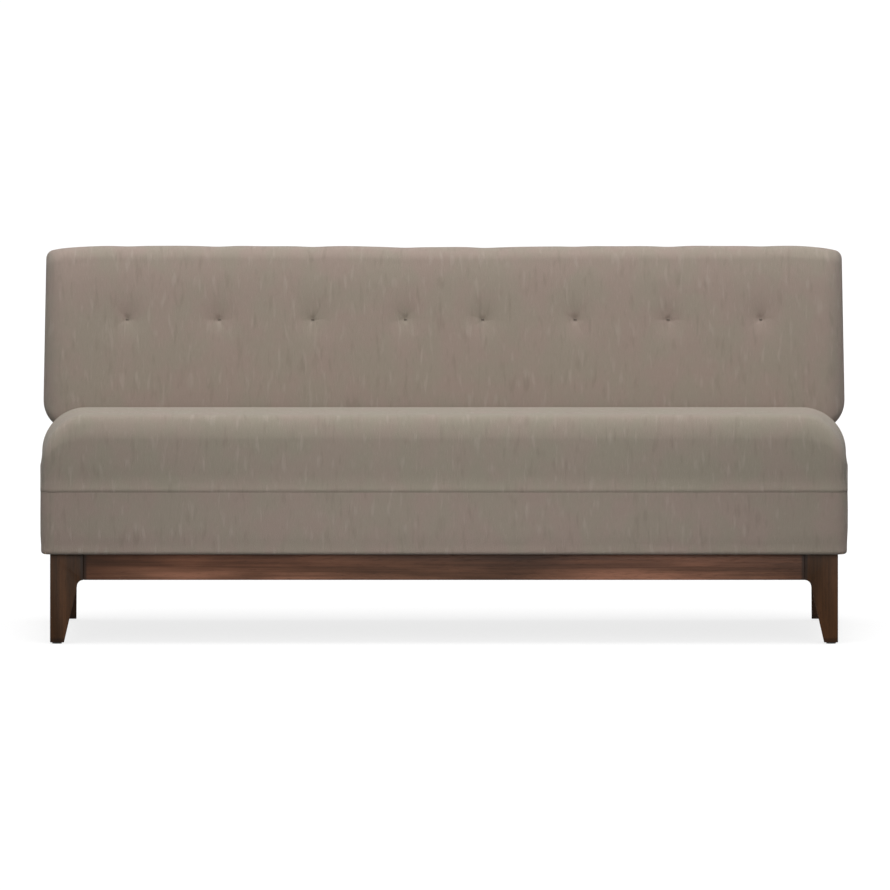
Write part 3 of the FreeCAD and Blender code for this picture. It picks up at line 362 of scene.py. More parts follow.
# Finishes
class Nodes:
    """Short ways to add shader nodes to one tree."""

    def __init__(self, tree: bpy.types.NodeTree) -> None:
        """Keeps the tree."""
        self.tree = tree

    def add(self, kind: str, inputs: Optional[dict] = None, **settings: object) -> bpy.types.Node:
        """Adds a node.

        Args:
            kind: Blender's name for the node.
            inputs: Input name or number to a value or to the socket that feeds it.
            **settings: The node's own settings.

        Returns:
            The node.
        """
        node = self.tree.nodes.new(kind)
        for name, value in settings.items():
            setattr(node, name, value)
        return self.feed(node, inputs or {})

    def feed(self, node: bpy.types.Node, inputs: dict) -> bpy.types.Node:
        """Links a node's inputs to the sockets that feed them, or sets their own values.

        Args:
            node: The node.
            inputs: Input name or number to a value or to the socket that feeds it.

        Returns:
            The node.
        """
        for name, value in inputs.items():
            socket = node.inputs[name]
            if isinstance(value, Socket):
                self.tree.links.new(value, socket)
            elif isinstance(value, tuple) and len(value) == 3 and socket.type == "RGBA":
                socket.default_value = (*value, 1.0)
            else:
                socket.default_value = value
        return node

    def math(self, kind: str, *values: object) -> Socket:
        """A Math node of one kind over one to three values."""
        return self.add("ShaderNodeMath", dict(enumerate(values)), operation=kind).outputs[0]

    def times(self, first: object, second: object) -> Socket:
        """The product of two values."""
        return self.math("MULTIPLY", first, second)

    def plus(self, first: object, second: object) -> Socket:
        """The sum of two values."""
        return self.math("ADD", first, second)

    def apart(self, vector: Socket) -> Sequence[Socket]:
        """The three parts of a vector."""
        return self.add("ShaderNodeSeparateXYZ", {0: vector}).outputs

    def seen(self) -> Socket:
        """One for what the camera sees straight, by a mirror or through glass, and nought for other light."""
        path = self.add("ShaderNodeLightPath").outputs
        return self.math("MAXIMUM", path["Is Camera Ray"], self.math(
            "MAXIMUM", path["Is Glossy Ray"], path["Is Transmission Ray"]))

    def bump(self, height: Socket, distance: float) -> Socket:
        """A bumped normal from a height of nought to one that stands for a distance in metres."""
        return self.add("ShaderNodeBump", {"Height": height, "Distance": distance, "Strength": 1.0}).outputs[0]

    def blend(self, share: object, first: object, second: object, kind: str = "MIX") -> Socket:
        """Mixes two colours.

        Args:
            share: Share of the second colour.
            first: First colour.
            second: Second colour.
            kind: Blend type.

        Returns:
            The mixed colour.
        """
        return self.add("ShaderNodeMix", {0: share, 6: first, 7: second}, data_type="RGBA",
                        blend_type=kind).outputs[2]

    def noise(self, vector: Socket, scale: tuple[float, float, float], detail: float = 3.0,
              rough: float = 0.5, offset: float = 0.0) -> Socket:
        """Noise stretched differently along each axis.

        Args:
            vector: Coordinates in metres.
            scale: Cells per metre along each axis.
            detail: Octaves.
            rough: Share of each further octave.
            offset: Shift that makes this noise differ from others.

        Returns:
            Values about one half.
        """
        stretched = self.add("ShaderNodeMapping", {"Vector": vector, "Scale": scale,
                                                   "Location": (offset, offset * 1.7, offset * 0.6)})
        return self.add("ShaderNodeTexNoise", {
            "Vector": stretched.outputs[0], "Scale": 1.0, "Detail": detail, "Roughness": rough}).outputs[0]

    def ramp(self, value: Socket, low: float, high: float) -> Socket:
        """Takes low to nought and high to one, smoothly, and clamps past them."""
        return self.add("ShaderNodeMapRange", {0: value, 1: low, 2: high, 3: 0.0, 4: 1.0},
                        interpolation_type="SMOOTHSTEP").outputs[0]


def node_group(name: str, inputs: dict[str, tuple[str, object]], outputs: dict[str, str]) -> tuple:
    """Makes an empty shader node group.

    Args:
        name: Group's name.
        inputs: Input name to its socket kind and default.
        outputs: Output name to its socket kind.

    Returns:
        The group, its Nodes helper, its input sockets by name and its output node.
    """
    group = bpy.data.node_groups.new(name, "ShaderNodeTree")
    for label, (kind, default) in inputs.items():
        socket = group.interface.new_socket(name=label, in_out="INPUT", socket_type=f"NodeSocket{kind}")
        if default is not None:
            socket.default_value = default
    for label, kind in outputs.items():
        group.interface.new_socket(name=label, in_out="OUTPUT", socket_type=f"NodeSocket{kind}")
    nodes = Nodes(group)
    return group, nodes, nodes.add("NodeGroupInput").outputs, nodes.add("NodeGroupOutput")


LONG_SLUBS = (92.0, 20.0, 1.0)
SHORT_SLUBS = (420.0, 60.0, 1.0)
YARNS = (900.0, 70.0, 1.0)
PATCHES = (16.0, 12.0, 1.0)
DARK_STROKES = (100.0, 22.0, 1.0)
GRAIN_BEND = (2.2, 11.0, 11.0)
STREAKS = (5.0, 240.0, 240.0)
CLOUDS = (3.0, 14.0, 14.0)
PORES = (45.0, 1500.0, 1500.0)
BROAD = (9.0, 9.0, 9.0)


def weave_group() -> bpy.types.NodeTree:
    """Plain weave with slubs: over-and-under threads, thick places along them, and melange yarn.

    A thread's height is the sine across it, kept where it passes over. Slubs are noise drawn out along the
    warp. The yarn tint is noise that changes from thread to thread and slowly along one.
    """
    group, nodes, entry, leave = node_group(
        "Slub weave", {"Vector": ("Vector", None), "Thread": ("Float", 0.0011)},
        {"Height": "Float", "Yarn": "Float", "Slub": "Float", "Gap": "Float"})
    place = entry["Vector"]
    apart = nodes.apart(place)
    turns = nodes.math("DIVIDE", math.pi, entry["Thread"])
    warp, weft = (nodes.math("SINE", nodes.times(apart[axis], turns)) for axis in (0, 1))
    over = nodes.ramp(nodes.times(warp, weft), -0.15, 0.15)
    warp_height = nodes.times(nodes.math("ABSOLUTE", warp), over)
    weft_height = nodes.times(nodes.math("ABSOLUTE", weft), nodes.math("SUBTRACT", 1.0, over))
    thread = nodes.plus(warp_height, nodes.times(weft_height, 0.8))
    long_slub = nodes.noise(place, LONG_SLUBS, 1.0, 0.4, 3.1)
    short_slub = nodes.noise(place, SHORT_SLUBS, 2.0, 0.5, 9.7)
    slub = nodes.plus(nodes.ramp(long_slub, 0.58, 0.78), nodes.times(nodes.ramp(short_slub, 0.58, 0.76), 0.5))
    nodes.feed(leave, {"Height": nodes.plus(nodes.times(thread, 0.55), nodes.times(slub, 0.8)),
                       "Yarn": nodes.noise(place, YARNS, 3.0, 0.6, 5.3),
                       "Slub": slub, "Gap": nodes.ramp(thread, 0.25, 0.7)})
    return group


def grain_group() -> bpy.types.NodeTree:
    """Wood grain along X: growth rings, streaks between them, and short dark pores.

    A ring is the sine of the distance across the board, bent by slow noise. Pores are fine noise drawn
    out along the grain and cut off high.
    """
    group, nodes, entry, leave = node_group(
        "Wood grain", {"Vector": ("Vector", None), "Dark": ("Color", (0.05, 0.03, 0.02, 1)),
                       "Light": ("Color", (0.15, 0.08, 0.05, 1)), "Rings": ("Float", 130.0)},
        {"Colour": "Color", "Height": "Float", "Gloss": "Float"})
    place = entry["Vector"]
    bend = nodes.noise(place, GRAIN_BEND, 3.0, 0.55, 1.3)
    apart = nodes.apart(place)
    across = nodes.plus(apart[1], nodes.times(apart[2], 0.8))
    turns = nodes.plus(nodes.times(across, entry["Rings"]), nodes.times(bend, 14.0))
    ring = nodes.math("MULTIPLY_ADD", nodes.math("SINE", turns), 0.5, 0.5)
    streak = nodes.noise(place, STREAKS, 4.0, 0.6, 4.4)
    cloud = nodes.noise(place, CLOUDS, 2.0, 0.5, 7.9)
    pore = nodes.ramp(nodes.noise(place, PORES, 2.0, 0.5, 8.8), 0.60, 0.72)
    tone = nodes.plus(nodes.times(ring, 0.24), nodes.plus(nodes.times(streak, 0.55), nodes.times(cloud, 0.50)))
    colour = nodes.blend(nodes.ramp(tone, 0.36, 0.92), entry["Dark"], entry["Light"])
    nodes.feed(leave, {"Colour": nodes.blend(nodes.times(pore, 0.55), colour, (0.012, 0.007, 0.005)),
                       "Height": nodes.math("SUBTRACT", nodes.times(streak, 0.25), pore),
                       "Gloss": nodes.math("MULTIPLY_ADD", streak, 0.16, 0.30)})
    return group


@dataclass(frozen=True)
class Finish:
    """A finish: its name and how it is made as a material."""

    name: str

    def start(self) -> tuple[Material, Nodes, bpy.types.Node]:
        """An empty material, its Nodes helper and its Principled shader."""
        material = bpy.data.materials.new(self.name)
        material.use_nodes = True
        return material, Nodes(material.node_tree), material.node_tree.nodes["Principled BSDF"]


@dataclass(frozen=True)
class Upholstery(Finish):
    """Heathered flat weave whose slubs run along the warp."""

    base: Colour = (0.290, 0.237, 0.195)
    olive: Colour = (0.276, 0.244, 0.193)
    mauve: Colour = (0.304, 0.232, 0.199)
    light: Colour = (0.392, 0.336, 0.285)
    dark: Colour = (0.177, 0.143, 0.114)
    weave: Optional[bpy.types.NodeTree] = None

    def make(self) -> Material:
        """Builds the material on the piece's cloth map."""
        material, nodes, shader = self.start()
        place = nodes.add("ShaderNodeUVMap", uv_map=CLOTH_MAP).outputs[0]
        weave = nodes.add("ShaderNodeGroup", node_tree=self.weave)
        nodes.feed(weave, {"Vector": place})
        patch = nodes.noise(place, PATCHES, 3.0, 0.55, 2.2)
        shade = nodes.noise(place, DARK_STROKES, 1.0, 0.4, 6.1)
        yarn, slub, gap = (weave.outputs[name] for name in ("Yarn", "Slub", "Gap"))
        hue = nodes.blend(nodes.ramp(patch, 0.36, 0.64), self.olive, self.mauve)
        colour = nodes.blend(0.6, self.base, hue)
        # Yarns darken and lighten at random, slubs lighten, strokes darken, and painted shade darkens the gaps
        # between threads
        for mask, share, tone in ((nodes.ramp(yarn, 0.44, 0.28), 0.26, self.dark),
                                  (nodes.ramp(yarn, 0.56, 0.72), 0.26, self.light),
                                  (slub, 0.35, self.light),
                                  (nodes.ramp(shade, 0.45, 0.18), 0.30, self.dark),
                                  (nodes.math("SUBTRACT", 1.0, gap), 0.25, self.dark)):
            colour = nodes.blend(nodes.times(mask, share), colour, tone)
        nodes.feed(shader, {"Base Color": colour, "Roughness": nodes.math("MULTIPLY_ADD", yarn, 0.1, 0.86),
                            "Sheen Weight": 0.12, "Sheen Roughness": 0.6, "Specular IOR Level": 0.25,
                            "Normal": nodes.bump(weave.outputs["Height"], 0.0005)})
        return material


@dataclass(frozen=True)
class Wood(Finish):
    """Wood with its grain along one axis, varnished or bare.

    A painted highlight lifts it about the middle of each half, painted light makes its foot paler, painted
    shade darkens it beside the joint with a leg, and a tip darkens a leg's end.
    """

    grain: Grain
    dark: Colour
    light: Colour
    rings: float = 130.0
    varnish: float = 0.0
    glow: float = 0.0
    joint: float = 0.0
    painted_joint_shade: Colour = (0.020, 0.012, 0.008)
    tip: float = 0.0
    painted_light_foot: float = 0.0
    pattern: Optional[bpy.types.NodeTree] = None

    def make(self) -> Material:
        """Builds the material on Object coordinates, with X turned to run along the grain."""
        material, nodes, shader = self.start()
        apart = nodes.apart(nodes.add("ShaderNodeTexCoord").outputs["Object"])
        turned = {axis: apart[own] for axis, own in enumerate(self.grain.value)}
        along = nodes.add("ShaderNodeCombineXYZ", turned)
        grain = nodes.add("ShaderNodeGroup", node_tree=self.pattern)
        nodes.feed(grain, {"Vector": along.outputs[0], "Dark": self.dark, "Light": self.light,
                           "Rings": self.rings})
        colour, gloss = grain.outputs["Colour"], grain.outputs["Gloss"]
        # Painted highlight: the colour is lifted about the middle of each half of the apron
        if self.glow:
            side = nodes.math("ABSOLUTE", nodes.math("SUBTRACT", nodes.math("ABSOLUTE", apart[0]), 0.45))
            colour = nodes.blend(nodes.times(nodes.ramp(side, 0.36, 0.05), self.glow), colour,
                                 (2.0, 1.9, 1.95), "MULTIPLY")
        # Painted light: the apron's foot is made paler in the middle, for light from below
        if self.painted_light_foot:
            middle = nodes.ramp(nodes.math("ABSOLUTE", apart[0]), 0.74, 0.62)
            low = nodes.ramp(apart[2], self.painted_light_foot + 0.036, self.painted_light_foot + 0.008)
            colour = nodes.blend(nodes.times(middle, low), colour, (1.38, 1.48, 1.58), "MULTIPLY")
        # Painted shade: the wood darkens beside the joint between apron and leg
        if self.joint:
            away = nodes.math("ABSOLUTE", nodes.math("SUBTRACT", nodes.math("ABSOLUTE", apart[0]), self.joint))
            colour = nodes.blend(nodes.times(nodes.ramp(away, 0.010, 0.003), 0.85), colour, self.painted_joint_shade)
        if self.tip:
            end = nodes.ramp(apart[2], self.tip * 1.2, self.tip * 0.8)
            colour = nodes.blend(end, colour, (0.55, 0.55, 0.55), "MULTIPLY")
        rough = gloss if self.varnish else nodes.plus(gloss, 0.3)
        nodes.feed(shader, {"Base Color": colour, "Roughness": rough, "Coat Weight": self.varnish,
                            "Coat Roughness": 0.35, "Specular IOR Level": 0.10,
                            "Normal": nodes.bump(grain.outputs["Height"], 0.00015)})
        return material


@dataclass(frozen=True)
class Speckled(Finish):
    """A plain stuff with fine and broad variation: foam, felt, lining, twine, nylon or metal."""

    colour: Colour
    other: Colour
    scale: tuple[float, float, float]
    roughness: float
    metal: float = 0.0
    relief: float = 0.0003

    def make(self) -> Material:
        """Builds the material on Object coordinates."""
        material, nodes, shader = self.start()
        place = nodes.add("ShaderNodeTexCoord").outputs["Object"]
        fine = nodes.noise(place, self.scale, 4.0, 0.6, 1.9)
        broad = nodes.noise(place, BROAD, 3.0, 0.5, 5.5)
        mask = nodes.ramp(nodes.plus(nodes.times(fine, 0.7), nodes.times(broad, 0.3)), 0.35, 0.65)
        nodes.feed(shader, {"Base Color": nodes.blend(mask, self.colour, self.other),
                            "Roughness": nodes.math("MULTIPLY_ADD", fine, 0.15, self.roughness - 0.07),
                            "Metallic": self.metal, "Normal": nodes.bump(fine, self.relief)})
        return material


STUFFS = {
    "spring": Speckled("oiled_spring_steel", (0.20, 0.19, 0.18), (0.32, 0.31, 0.30), (60.0, 60.0, 900.0),
                       0.38, 1.0, 0.00005),
    "zinc": Speckled("zinc_steel", (0.62, 0.62, 0.60), (0.50, 0.50, 0.50), (300.0, 300.0, 300.0),
                     0.34, 1.0, 0.00005),
    "foam": Speckled("open_foam", (0.86, 0.80, 0.60), (0.74, 0.67, 0.46), (900.0, 900.0, 900.0), 0.92),
    "wadding": Speckled("wadding_and_felt", (0.84, 0.84, 0.82), (0.70, 0.70, 0.67), (350.0, 120.0, 350.0),
                        0.95, 0.0, 0.0008),
    "lining": Speckled("spun_lining", (0.022, 0.022, 0.023), (0.045, 0.045, 0.047), (700.0, 700.0, 700.0),
                       0.9, 0.0, 0.0002),
    "webbing": Speckled("woven_webbing", (0.40, 0.33, 0.23), (0.24, 0.19, 0.12), (900.0, 60.0, 160.0), 0.85),
    "nylon": Speckled("moulded_nylon", (0.045, 0.042, 0.040), (0.070, 0.066, 0.062), (500.0, 500.0, 500.0),
                      0.55, 0.0, 0.0001),
    "twine": Speckled("waxed_twine", (0.60, 0.54, 0.43), (0.42, 0.36, 0.27), (1500.0, 1500.0, 500.0), 0.7),
    "tuft_twine": Speckled("dark_tuft_twine", (0.150, 0.122, 0.098), (0.110, 0.090, 0.072),
                           (1500.0, 1500.0, 500.0), 0.8),
    "thread": Speckled("sewing_thread", (0.33, 0.30, 0.25), (0.24, 0.215, 0.175), (2500.0, 2500.0, 2500.0),
                       0.75, 0.0, 0.0001),
}


class Finishes:
    """Every finish of the sofa, made once."""

    def __init__(self) -> None:
        """Makes the pattern groups and the materials."""
        weave, grain = weave_group(), grain_group()
        self.cloth = Upholstery("heathered_cloth", weave=weave).make()
        self.seat_cloth = Upholstery("heathered_seat_cloth", (0.279, 0.236, 0.190), (0.264, 0.242, 0.187),
                                     (0.291, 0.232, 0.194), weave=weave).make()
        # Painted light: the back's cloth is the band's cloth made evenly lighter, for the light the back gets
        self.painted_light_back_cloth = Upholstery("heathered_back_cloth", (0.306, 0.250, 0.206), (0.291, 0.257, 0.204),
                                     (0.321, 0.245, 0.210), (0.410, 0.352, 0.298), (0.187, 0.151, 0.120),
                                     weave=weave).make()
        joint = float(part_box("leg_front_right")[0][0])
        foot = float(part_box("front_apron")[0][2])
        apron = {"dark": (0.038, 0.0175, 0.0095), "light": (0.118, 0.0540, 0.0310), "varnish": 0.03,
                 "pattern": grain}
        bare = {"dark": (0.42, 0.29, 0.17), "light": (0.66, 0.50, 0.32), "rings": 90.0, "pattern": grain}
        self.leg = Wood("walnut_leg", Grain.UPRIGHT, (0.030, 0.0127, 0.0036), (0.082, 0.0340, 0.0128),
                        varnish=0.03, joint=joint, tip=0.012, pattern=grain).make()
        self.apron = Wood("walnut_apron", Grain.ACROSS, glow=1.0, joint=joint, painted_light_foot=foot, **apron).make()
        self.side_apron = Wood("walnut_side_apron", Grain.REARWARD, **apron).make()
        self.rail = Wood("beech_rail", Grain.ACROSS, **bare).make()
        self.cross = Wood("beech_cross_rail", Grain.REARWARD, **bare).make()
        self.post = Wood("beech_post", Grain.UPRIGHT, **bare).make()
        for name, stuff in STUFFS.items():
            setattr(self, name, stuff.make())


def dress(piece: Piece, material: Material) -> None:
    """Gives a new piece its only material."""
    piece.data.materials.clear()
    piece.data.materials.append(material)


def report(piece: Piece) -> None:
    """Logs a finished piece and its size."""
    LOG.info("%s: %d points", piece.name, len(piece.data.vertices))


# Upholstered pieces
@dataclass
class SeatCushion:
    """The tight seat: crowned, rolled at the front and ends, with a shelf at the rear for the back."""

    top_rise: float = 0.137
    front_lift: float = 0.0246
    crown: float = 0.003
    front_roll: float = 0.032
    droop: float = 0.022
    droop_run: float = 0.034
    front_swell: float = 0.002
    ledge_rise: float = 0.087
    roll: float = 0.092
    ledge_roll: float = 0.060
    ledge_edge: float = 0.020
    ledge_round: float = 0.002
    crease_roll: float = 0.030
    plan_corner: float = 0.024
    crease: float = 0.17967
    flare: float = 0.0042
    flare_rise: float = 0.036
    flare_top: float = 0.004
    groove: float = 0.0008
    groove_reach: float = 0.0036
    tuck: float = 0.006
    tuck_slope: float = 0.9
    cell: float = 0.0085

    def __post_init__(self) -> None:
        """Takes the outer planes from the CAD cover."""
        low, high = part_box("seat_cover")
        self.half, self.front, self.rear, self.seam = high[0], low[1], high[1], low[2]

    def section(self, distance: Array) -> Array:
        """Sections at distances in from an end, as (rows, points, 2) of depth and height.

        The front edge droops by the cube of the nearness to the front, which makes its round an upright oval.
        """
        corner = fall(distance, self.plan_corner)
        front, rear = self.front + corner, self.rear - corner
        height = self.top_rise - fall(distance, self.roll)
        ledge = self.ledge_rise - fall(distance, self.ledge_roll)
        shape = height / self.top_rise
        corners = np.stack([table(*pair) for pair in (
            (front, -self.tuck), (front, height + self.front_lift * shape), (self.crease, height),
            (self.crease, ledge), (rear, ledge), (rear, -self.tuck))], axis=1)
        crease_roll = self.crease_roll * (height - ledge) / (self.top_rise - self.ledge_rise)
        radii = table(0.0, self.front_roll * shape, crease_roll, self.ledge_round,
                      self.ledge_edge * ledge / self.ledge_rise, 0.0)
        wall = spread(0, 1, lambda t: 0.028 + 0.09 * t)[1:-1]
        tops = np.linspace(0, 1, 56)[1:-1]
        runs = [wall, tops, np.array([0.5]), np.linspace(0, 1, 16)[1:-1], 1 - wall[::-1]]
        path = rounded_path(corners, radii, runs, [-self.front_swell, -self.crown, 0, 0, 0], [16, 6, 2, 4])
        near = np.clip(1 - (path[..., 0] - front[:, None]) / self.droop_run, 0, 1)
        path[..., 1] -= self.droop * near ** 3 * np.clip(path[..., 1], 0, None) / self.top_rise
        return path

    def grid(self) -> tuple[Array, Array]:
        """The whole cover as one grid and its cloth map.

        Rows run from the seam under one end, up the end face, over the roll and across to the other end.
        On an end face a row is the mix of the bottom line and the end section. The map is in metres:
        along x, and along the section.
        """
        near = self.roll * (1 - np.cos(np.linspace(0, np.pi / 2, 15)))
        middle = spread(self.roll, self.half, lambda d: np.full_like(d, self.cell))[1:]
        inward = np.concatenate([near, middle])
        curve = self.section(inward)
        share = spread(0, 1, lambda t: 0.024 + 0.12 * t * (1 - 0.8 * t))[:-1]
        base = np.linspace(0, 1, curve.shape[1])
        bottom = table(curve[0, 0, 0] + (curve[0, -1, 0] - curve[0, 0, 0]) * base, -self.tuck)
        end = bottom[None] + (curve[0] - bottom)[None] * share[:, None, None]
        rows = mirrored(np.concatenate([end, curve]))
        place = np.concatenate([np.zeros(len(share)), inward]) - self.half
        across = np.concatenate([place, -place[-2::-1]])
        points = np.stack([np.broadcast_to(across[:, None], rows.shape[:2]), rows[..., 0],
                           rows[..., 1] + self.seam], axis=-1)
        return points, self.cloth_map(points, len(share))

    def cloth_map(self, points: Array, end_rows: int) -> Array:
        """Cloth map of the grid: walked lengths from the middle, and end faces that carry on from the top."""
        top = points.shape[1] // 2
        uv, walked = walked_map(points, top, points[:, top:top + 1, 1])
        for rows, edge, way in ((slice(0, end_rows), end_rows, -1), (slice(-end_rows, None), -end_rows - 1, 1)):
            uv[rows, :, 0] = walked[edge] + way * (points[edge, top, 2] - points[rows, :, 2])
            uv[rows, :, 1] = points[rows, :, 1]
        return uv

    def outward(self, points: Array) -> Array:
        """Level direction away from the seat's plan, from its rounded rectangle."""
        low = np.array([-self.half, self.front]) + self.plan_corner
        high = np.array([self.half, self.rear]) - self.plan_corner
        away = points[..., :2] - np.clip(points[..., :2], low, high)
        return np.concatenate([unit(away), np.zeros_like(away[..., :1])], axis=-1)

    def seam_form(self, points: Array) -> Array:
        """Stands the cover out over its turned-in allowance just above the seam, and takes it in at the seam.

        The wall goes out with the square of the way down, in by a bell curve at the seam, and on inwards
        behind the band below it.
        """
        height = points[..., 2] - self.seam
        share = np.clip((self.flare_rise - height) / (self.flare_rise - self.flare_top), 0, 1)
        step = self.flare * share ** 2 - self.groove * bell(np.clip(height, 0, None) / self.groove_reach)
        step -= self.tuck_slope * np.clip(-height, 0, None)
        return points + self.outward(points) * step[..., None]

    def build(self, finishes: Finishes) -> None:
        """Builds, fills and dresses the seat."""
        points, uv = self.grid()
        held = np.zeros(points.shape[:2], dtype=bool)
        held[:, :2] = held[:, -2:] = True
        held[:2] = held[-2:] = True
        held |= points[..., 1] > self.crease - 0.004
        points = Filling(slack=0.010).fill_out(points, held)
        points = self.seam_form(points)
        piece = make_mesh("seat_cushion", points, grid_faces(*points.shape[:2]), uv)
        close_shell(piece)
        dress(piece, finishes.seat_cloth)
        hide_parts("seat_cover", "seat_wadding")
        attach(piece, BODY)
        report(piece)


@dataclass
class BackCushion:
    """The leaning back in its own axes: across, rearwards from its crown, and up its slope."""

    recline: float = math.radians(10)
    thickness: float = 0.180
    length: float = 0.3931
    half_width: float = 0.840
    shelf: float = 0.404
    crown: float = 0.010
    front_roll: float = 0.036
    top_lean: float = 0.0095
    lean_run: float = 0.088
    rear_roll: float = 0.025
    foot_roll: float = 0.020
    foot_edge: float = 0.010
    end_roll: float = 0.045
    top_corner: float = 0.0135
    bottom_corner: float = 0.060
    inset: float = 0.0055
    draw_in: float = 0.0075
    top_drop: float = 0.009
    drop_run: float = 0.125
    rear_lap: float = 0.014
    setback: float = 0.002
    tuft_rise: float = 0.23382
    tuft_first: float = 0.080
    tuft_pitch: float = 0.193
    tuft_depth: float = 0.0092
    tuft_offset: float = 0.0072
    tuft_width: float = 0.0070
    pinch: tuple[float, float] = (0.0024, 0.012)
    dish: tuple[float, float] = (0.0036, 0.030)
    pull_depth: float = 0.0012
    pull_run: float = 0.085
    top_dip: float = 0.0016
    top_sag: float = 0.0022
    panel_corner: float = 0.022
    panel_rise: float = 0.0026
    panel_sink: float = 0.0012
    panel_fullness: float = 0.0022
    panel_cloth: float = 0.0014
    seed: int = 7

    def __post_init__(self) -> None:
        """Takes the foot's place from the CAD band and works out the tufts' places."""
        self.half = self.half_width - self.inset
        self.foot = float(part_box("seat_band")[1][1]) - self.setback - self.thickness / math.cos(self.recline)
        steps = self.tuft_first + self.tuft_pitch * np.arange(4)
        self.tufts = np.concatenate([-steps[::-1], steps])

    def place(self, across: Array, rearward: Array, up: Array) -> Array:
        """Points of the back's own axes in the sofa's axes."""
        cosine, sine = math.cos(self.recline), math.sin(self.recline)
        return np.stack([across, self.foot + rearward * cosine + up * sine,
                         self.shelf - rearward * sine + up * cosine], axis=-1)

    def lean_out(self, distance: Array) -> Array:
        """How far the ends draw in for each metre up the slope."""
        return self.draw_in * np.clip(1 - distance / self.drop_run, 0, None) / self.length

    def section(self, distance: Array) -> Array:
        """Sections at distances in from an end, as (rows, points, 2) of rearward and up.

        They start on the rear face, go under the foot, up the front and over the top to the rear face. Near the
        top the front leans back with the square of the nearness, which makes its round an upright oval.
        """
        nearness = np.clip(1 - distance / self.drop_run, 0, None)
        front = self.crown + fall(distance, self.end_roll)
        rear = self.thickness - fall(distance, self.rear_roll)
        top = self.length - self.top_drop * nearness ** 2 - fall(distance, self.top_corner)
        lift = fall(distance, self.bottom_corner)
        slope = math.tan(self.recline)
        corners = np.stack([table(*pair) for pair in (
            (rear, rear * slope + lift + self.rear_lap + 0.012), (rear, rear * slope + lift),
            (front, front * slope + lift), (front, top), (rear, top),
            (rear, top - self.rear_roll - self.rear_lap))], axis=1)
        radii = table(0 * distance, self.foot_edge, self.foot_roll, self.front_roll, self.rear_roll, 0.0)
        level = (self.tuft_rise - self.foot_roll) / (self.length - self.front_roll - self.foot_roll)
        front_run = spread(0, 1, lambda t: 0.0072 + 0.019 * np.clip(
            (np.abs(t - level) - 0.03) / 0.10, 0, 1))[1:-1]
        runs = [np.array([0.5]), np.linspace(0, 1, 14)[1:-1], front_run, np.linspace(0, 1, 12)[1:-1],
                np.array([0.35, 0.7])]
        path = rounded_path(corners, radii, runs, [0, 0, -self.crown, 0, 0], [4, 5, 12, 7])
        near = np.clip((path[..., 1] - top[:, None]) / self.lean_run + 1, 0, 1)
        path[..., 0] += self.top_lean * near ** 2 * np.clip((0.085 - path[..., 0]) / 0.03, 0, 1)
        return path

    def tuft_spacing(self, inward: Array) -> Array:
        """Spacing of the rows: close by the tufts, wider between them."""
        nearest = np.min(np.abs((inward - self.half)[:, None] - self.tufts[None]), axis=1)
        return 0.0024 + 0.0066 * np.clip((nearest - 0.009) / 0.030, 0, 1)

    def grid(self) -> tuple[Array, Array, int]:
        """The cover as one grid, its cloth map and its count of end rows.

        Rows run from the rear face round one end, over the front and round the other end. A row on the
        rear face or an end face is the mix of the two lines that bound it.
        """
        near = self.end_roll * (1 - np.cos(np.linspace(0, np.pi / 2, 13)))
        inward = np.concatenate([near, spread(self.end_roll, self.half, self.tuft_spacing)[1:]])
        curve = self.section(inward)
        lap = self.rear_roll + self.rear_lap
        behind = np.concatenate([near[near < lap], [lap]])[::-1]
        back_curve = self.section(behind)
        base = (lengths(curve[:1], 1) / lengths(curve[:1], 1)[:, -1:])[0]
        strip = back_curve[:, :1] + (back_curve[:, -1:] - back_curve[:, :1]) * base[None, :, None]
        share = spread(0, 1, lambda t: 0.03 + 0.30 * (1 - t))[1:-1]
        cap = strip[-1][None] + (curve[0] - strip[-1])[None] * share[:, None, None]
        half = np.concatenate([strip, cap, curve])
        rows = mirrored(half)
        side = np.concatenate([-np.ones(len(half)), np.ones(len(half) - 1)])
        reach = mirrored(np.concatenate([behind, np.zeros(len(share)), inward]))
        across = side[:, None] * (self.half - reach[:, None] - self.lean_out(reach)[:, None] * rows[..., 1])
        own = np.stack([across, rows[..., 0], rows[..., 1]], axis=-1)
        end_rows = len(behind) + len(share)
        return own, self.cloth_map(own, len(behind), end_rows), end_rows

    def cloth_map(self, own: Array, rear_rows: int, end_rows: int) -> Array:
        """Cloth map: up the front by walked length, and round the ends by depth and height."""
        middle = own[len(own) // 2]
        level = int(np.argmin(np.abs(middle[:, 2] - self.tuft_rise) + middle[:, 1]))
        uv, walked = walked_map(own, level, own[:, level:level + 1, 2])
        for part in (slice(0, end_rows), slice(-end_rows, None)):
            uv[part, :, 1] = own[part, :, 2]
        for part, edge, way in ((slice(rear_rows, end_rows), end_rows, -1),
                                (slice(-end_rows, -rear_rows), -end_rows - 1, 1)):
            uv[part, :, 0] = walked[edge] + way * (own[part, :, 1] - own[edge, level, 1])
        return uv

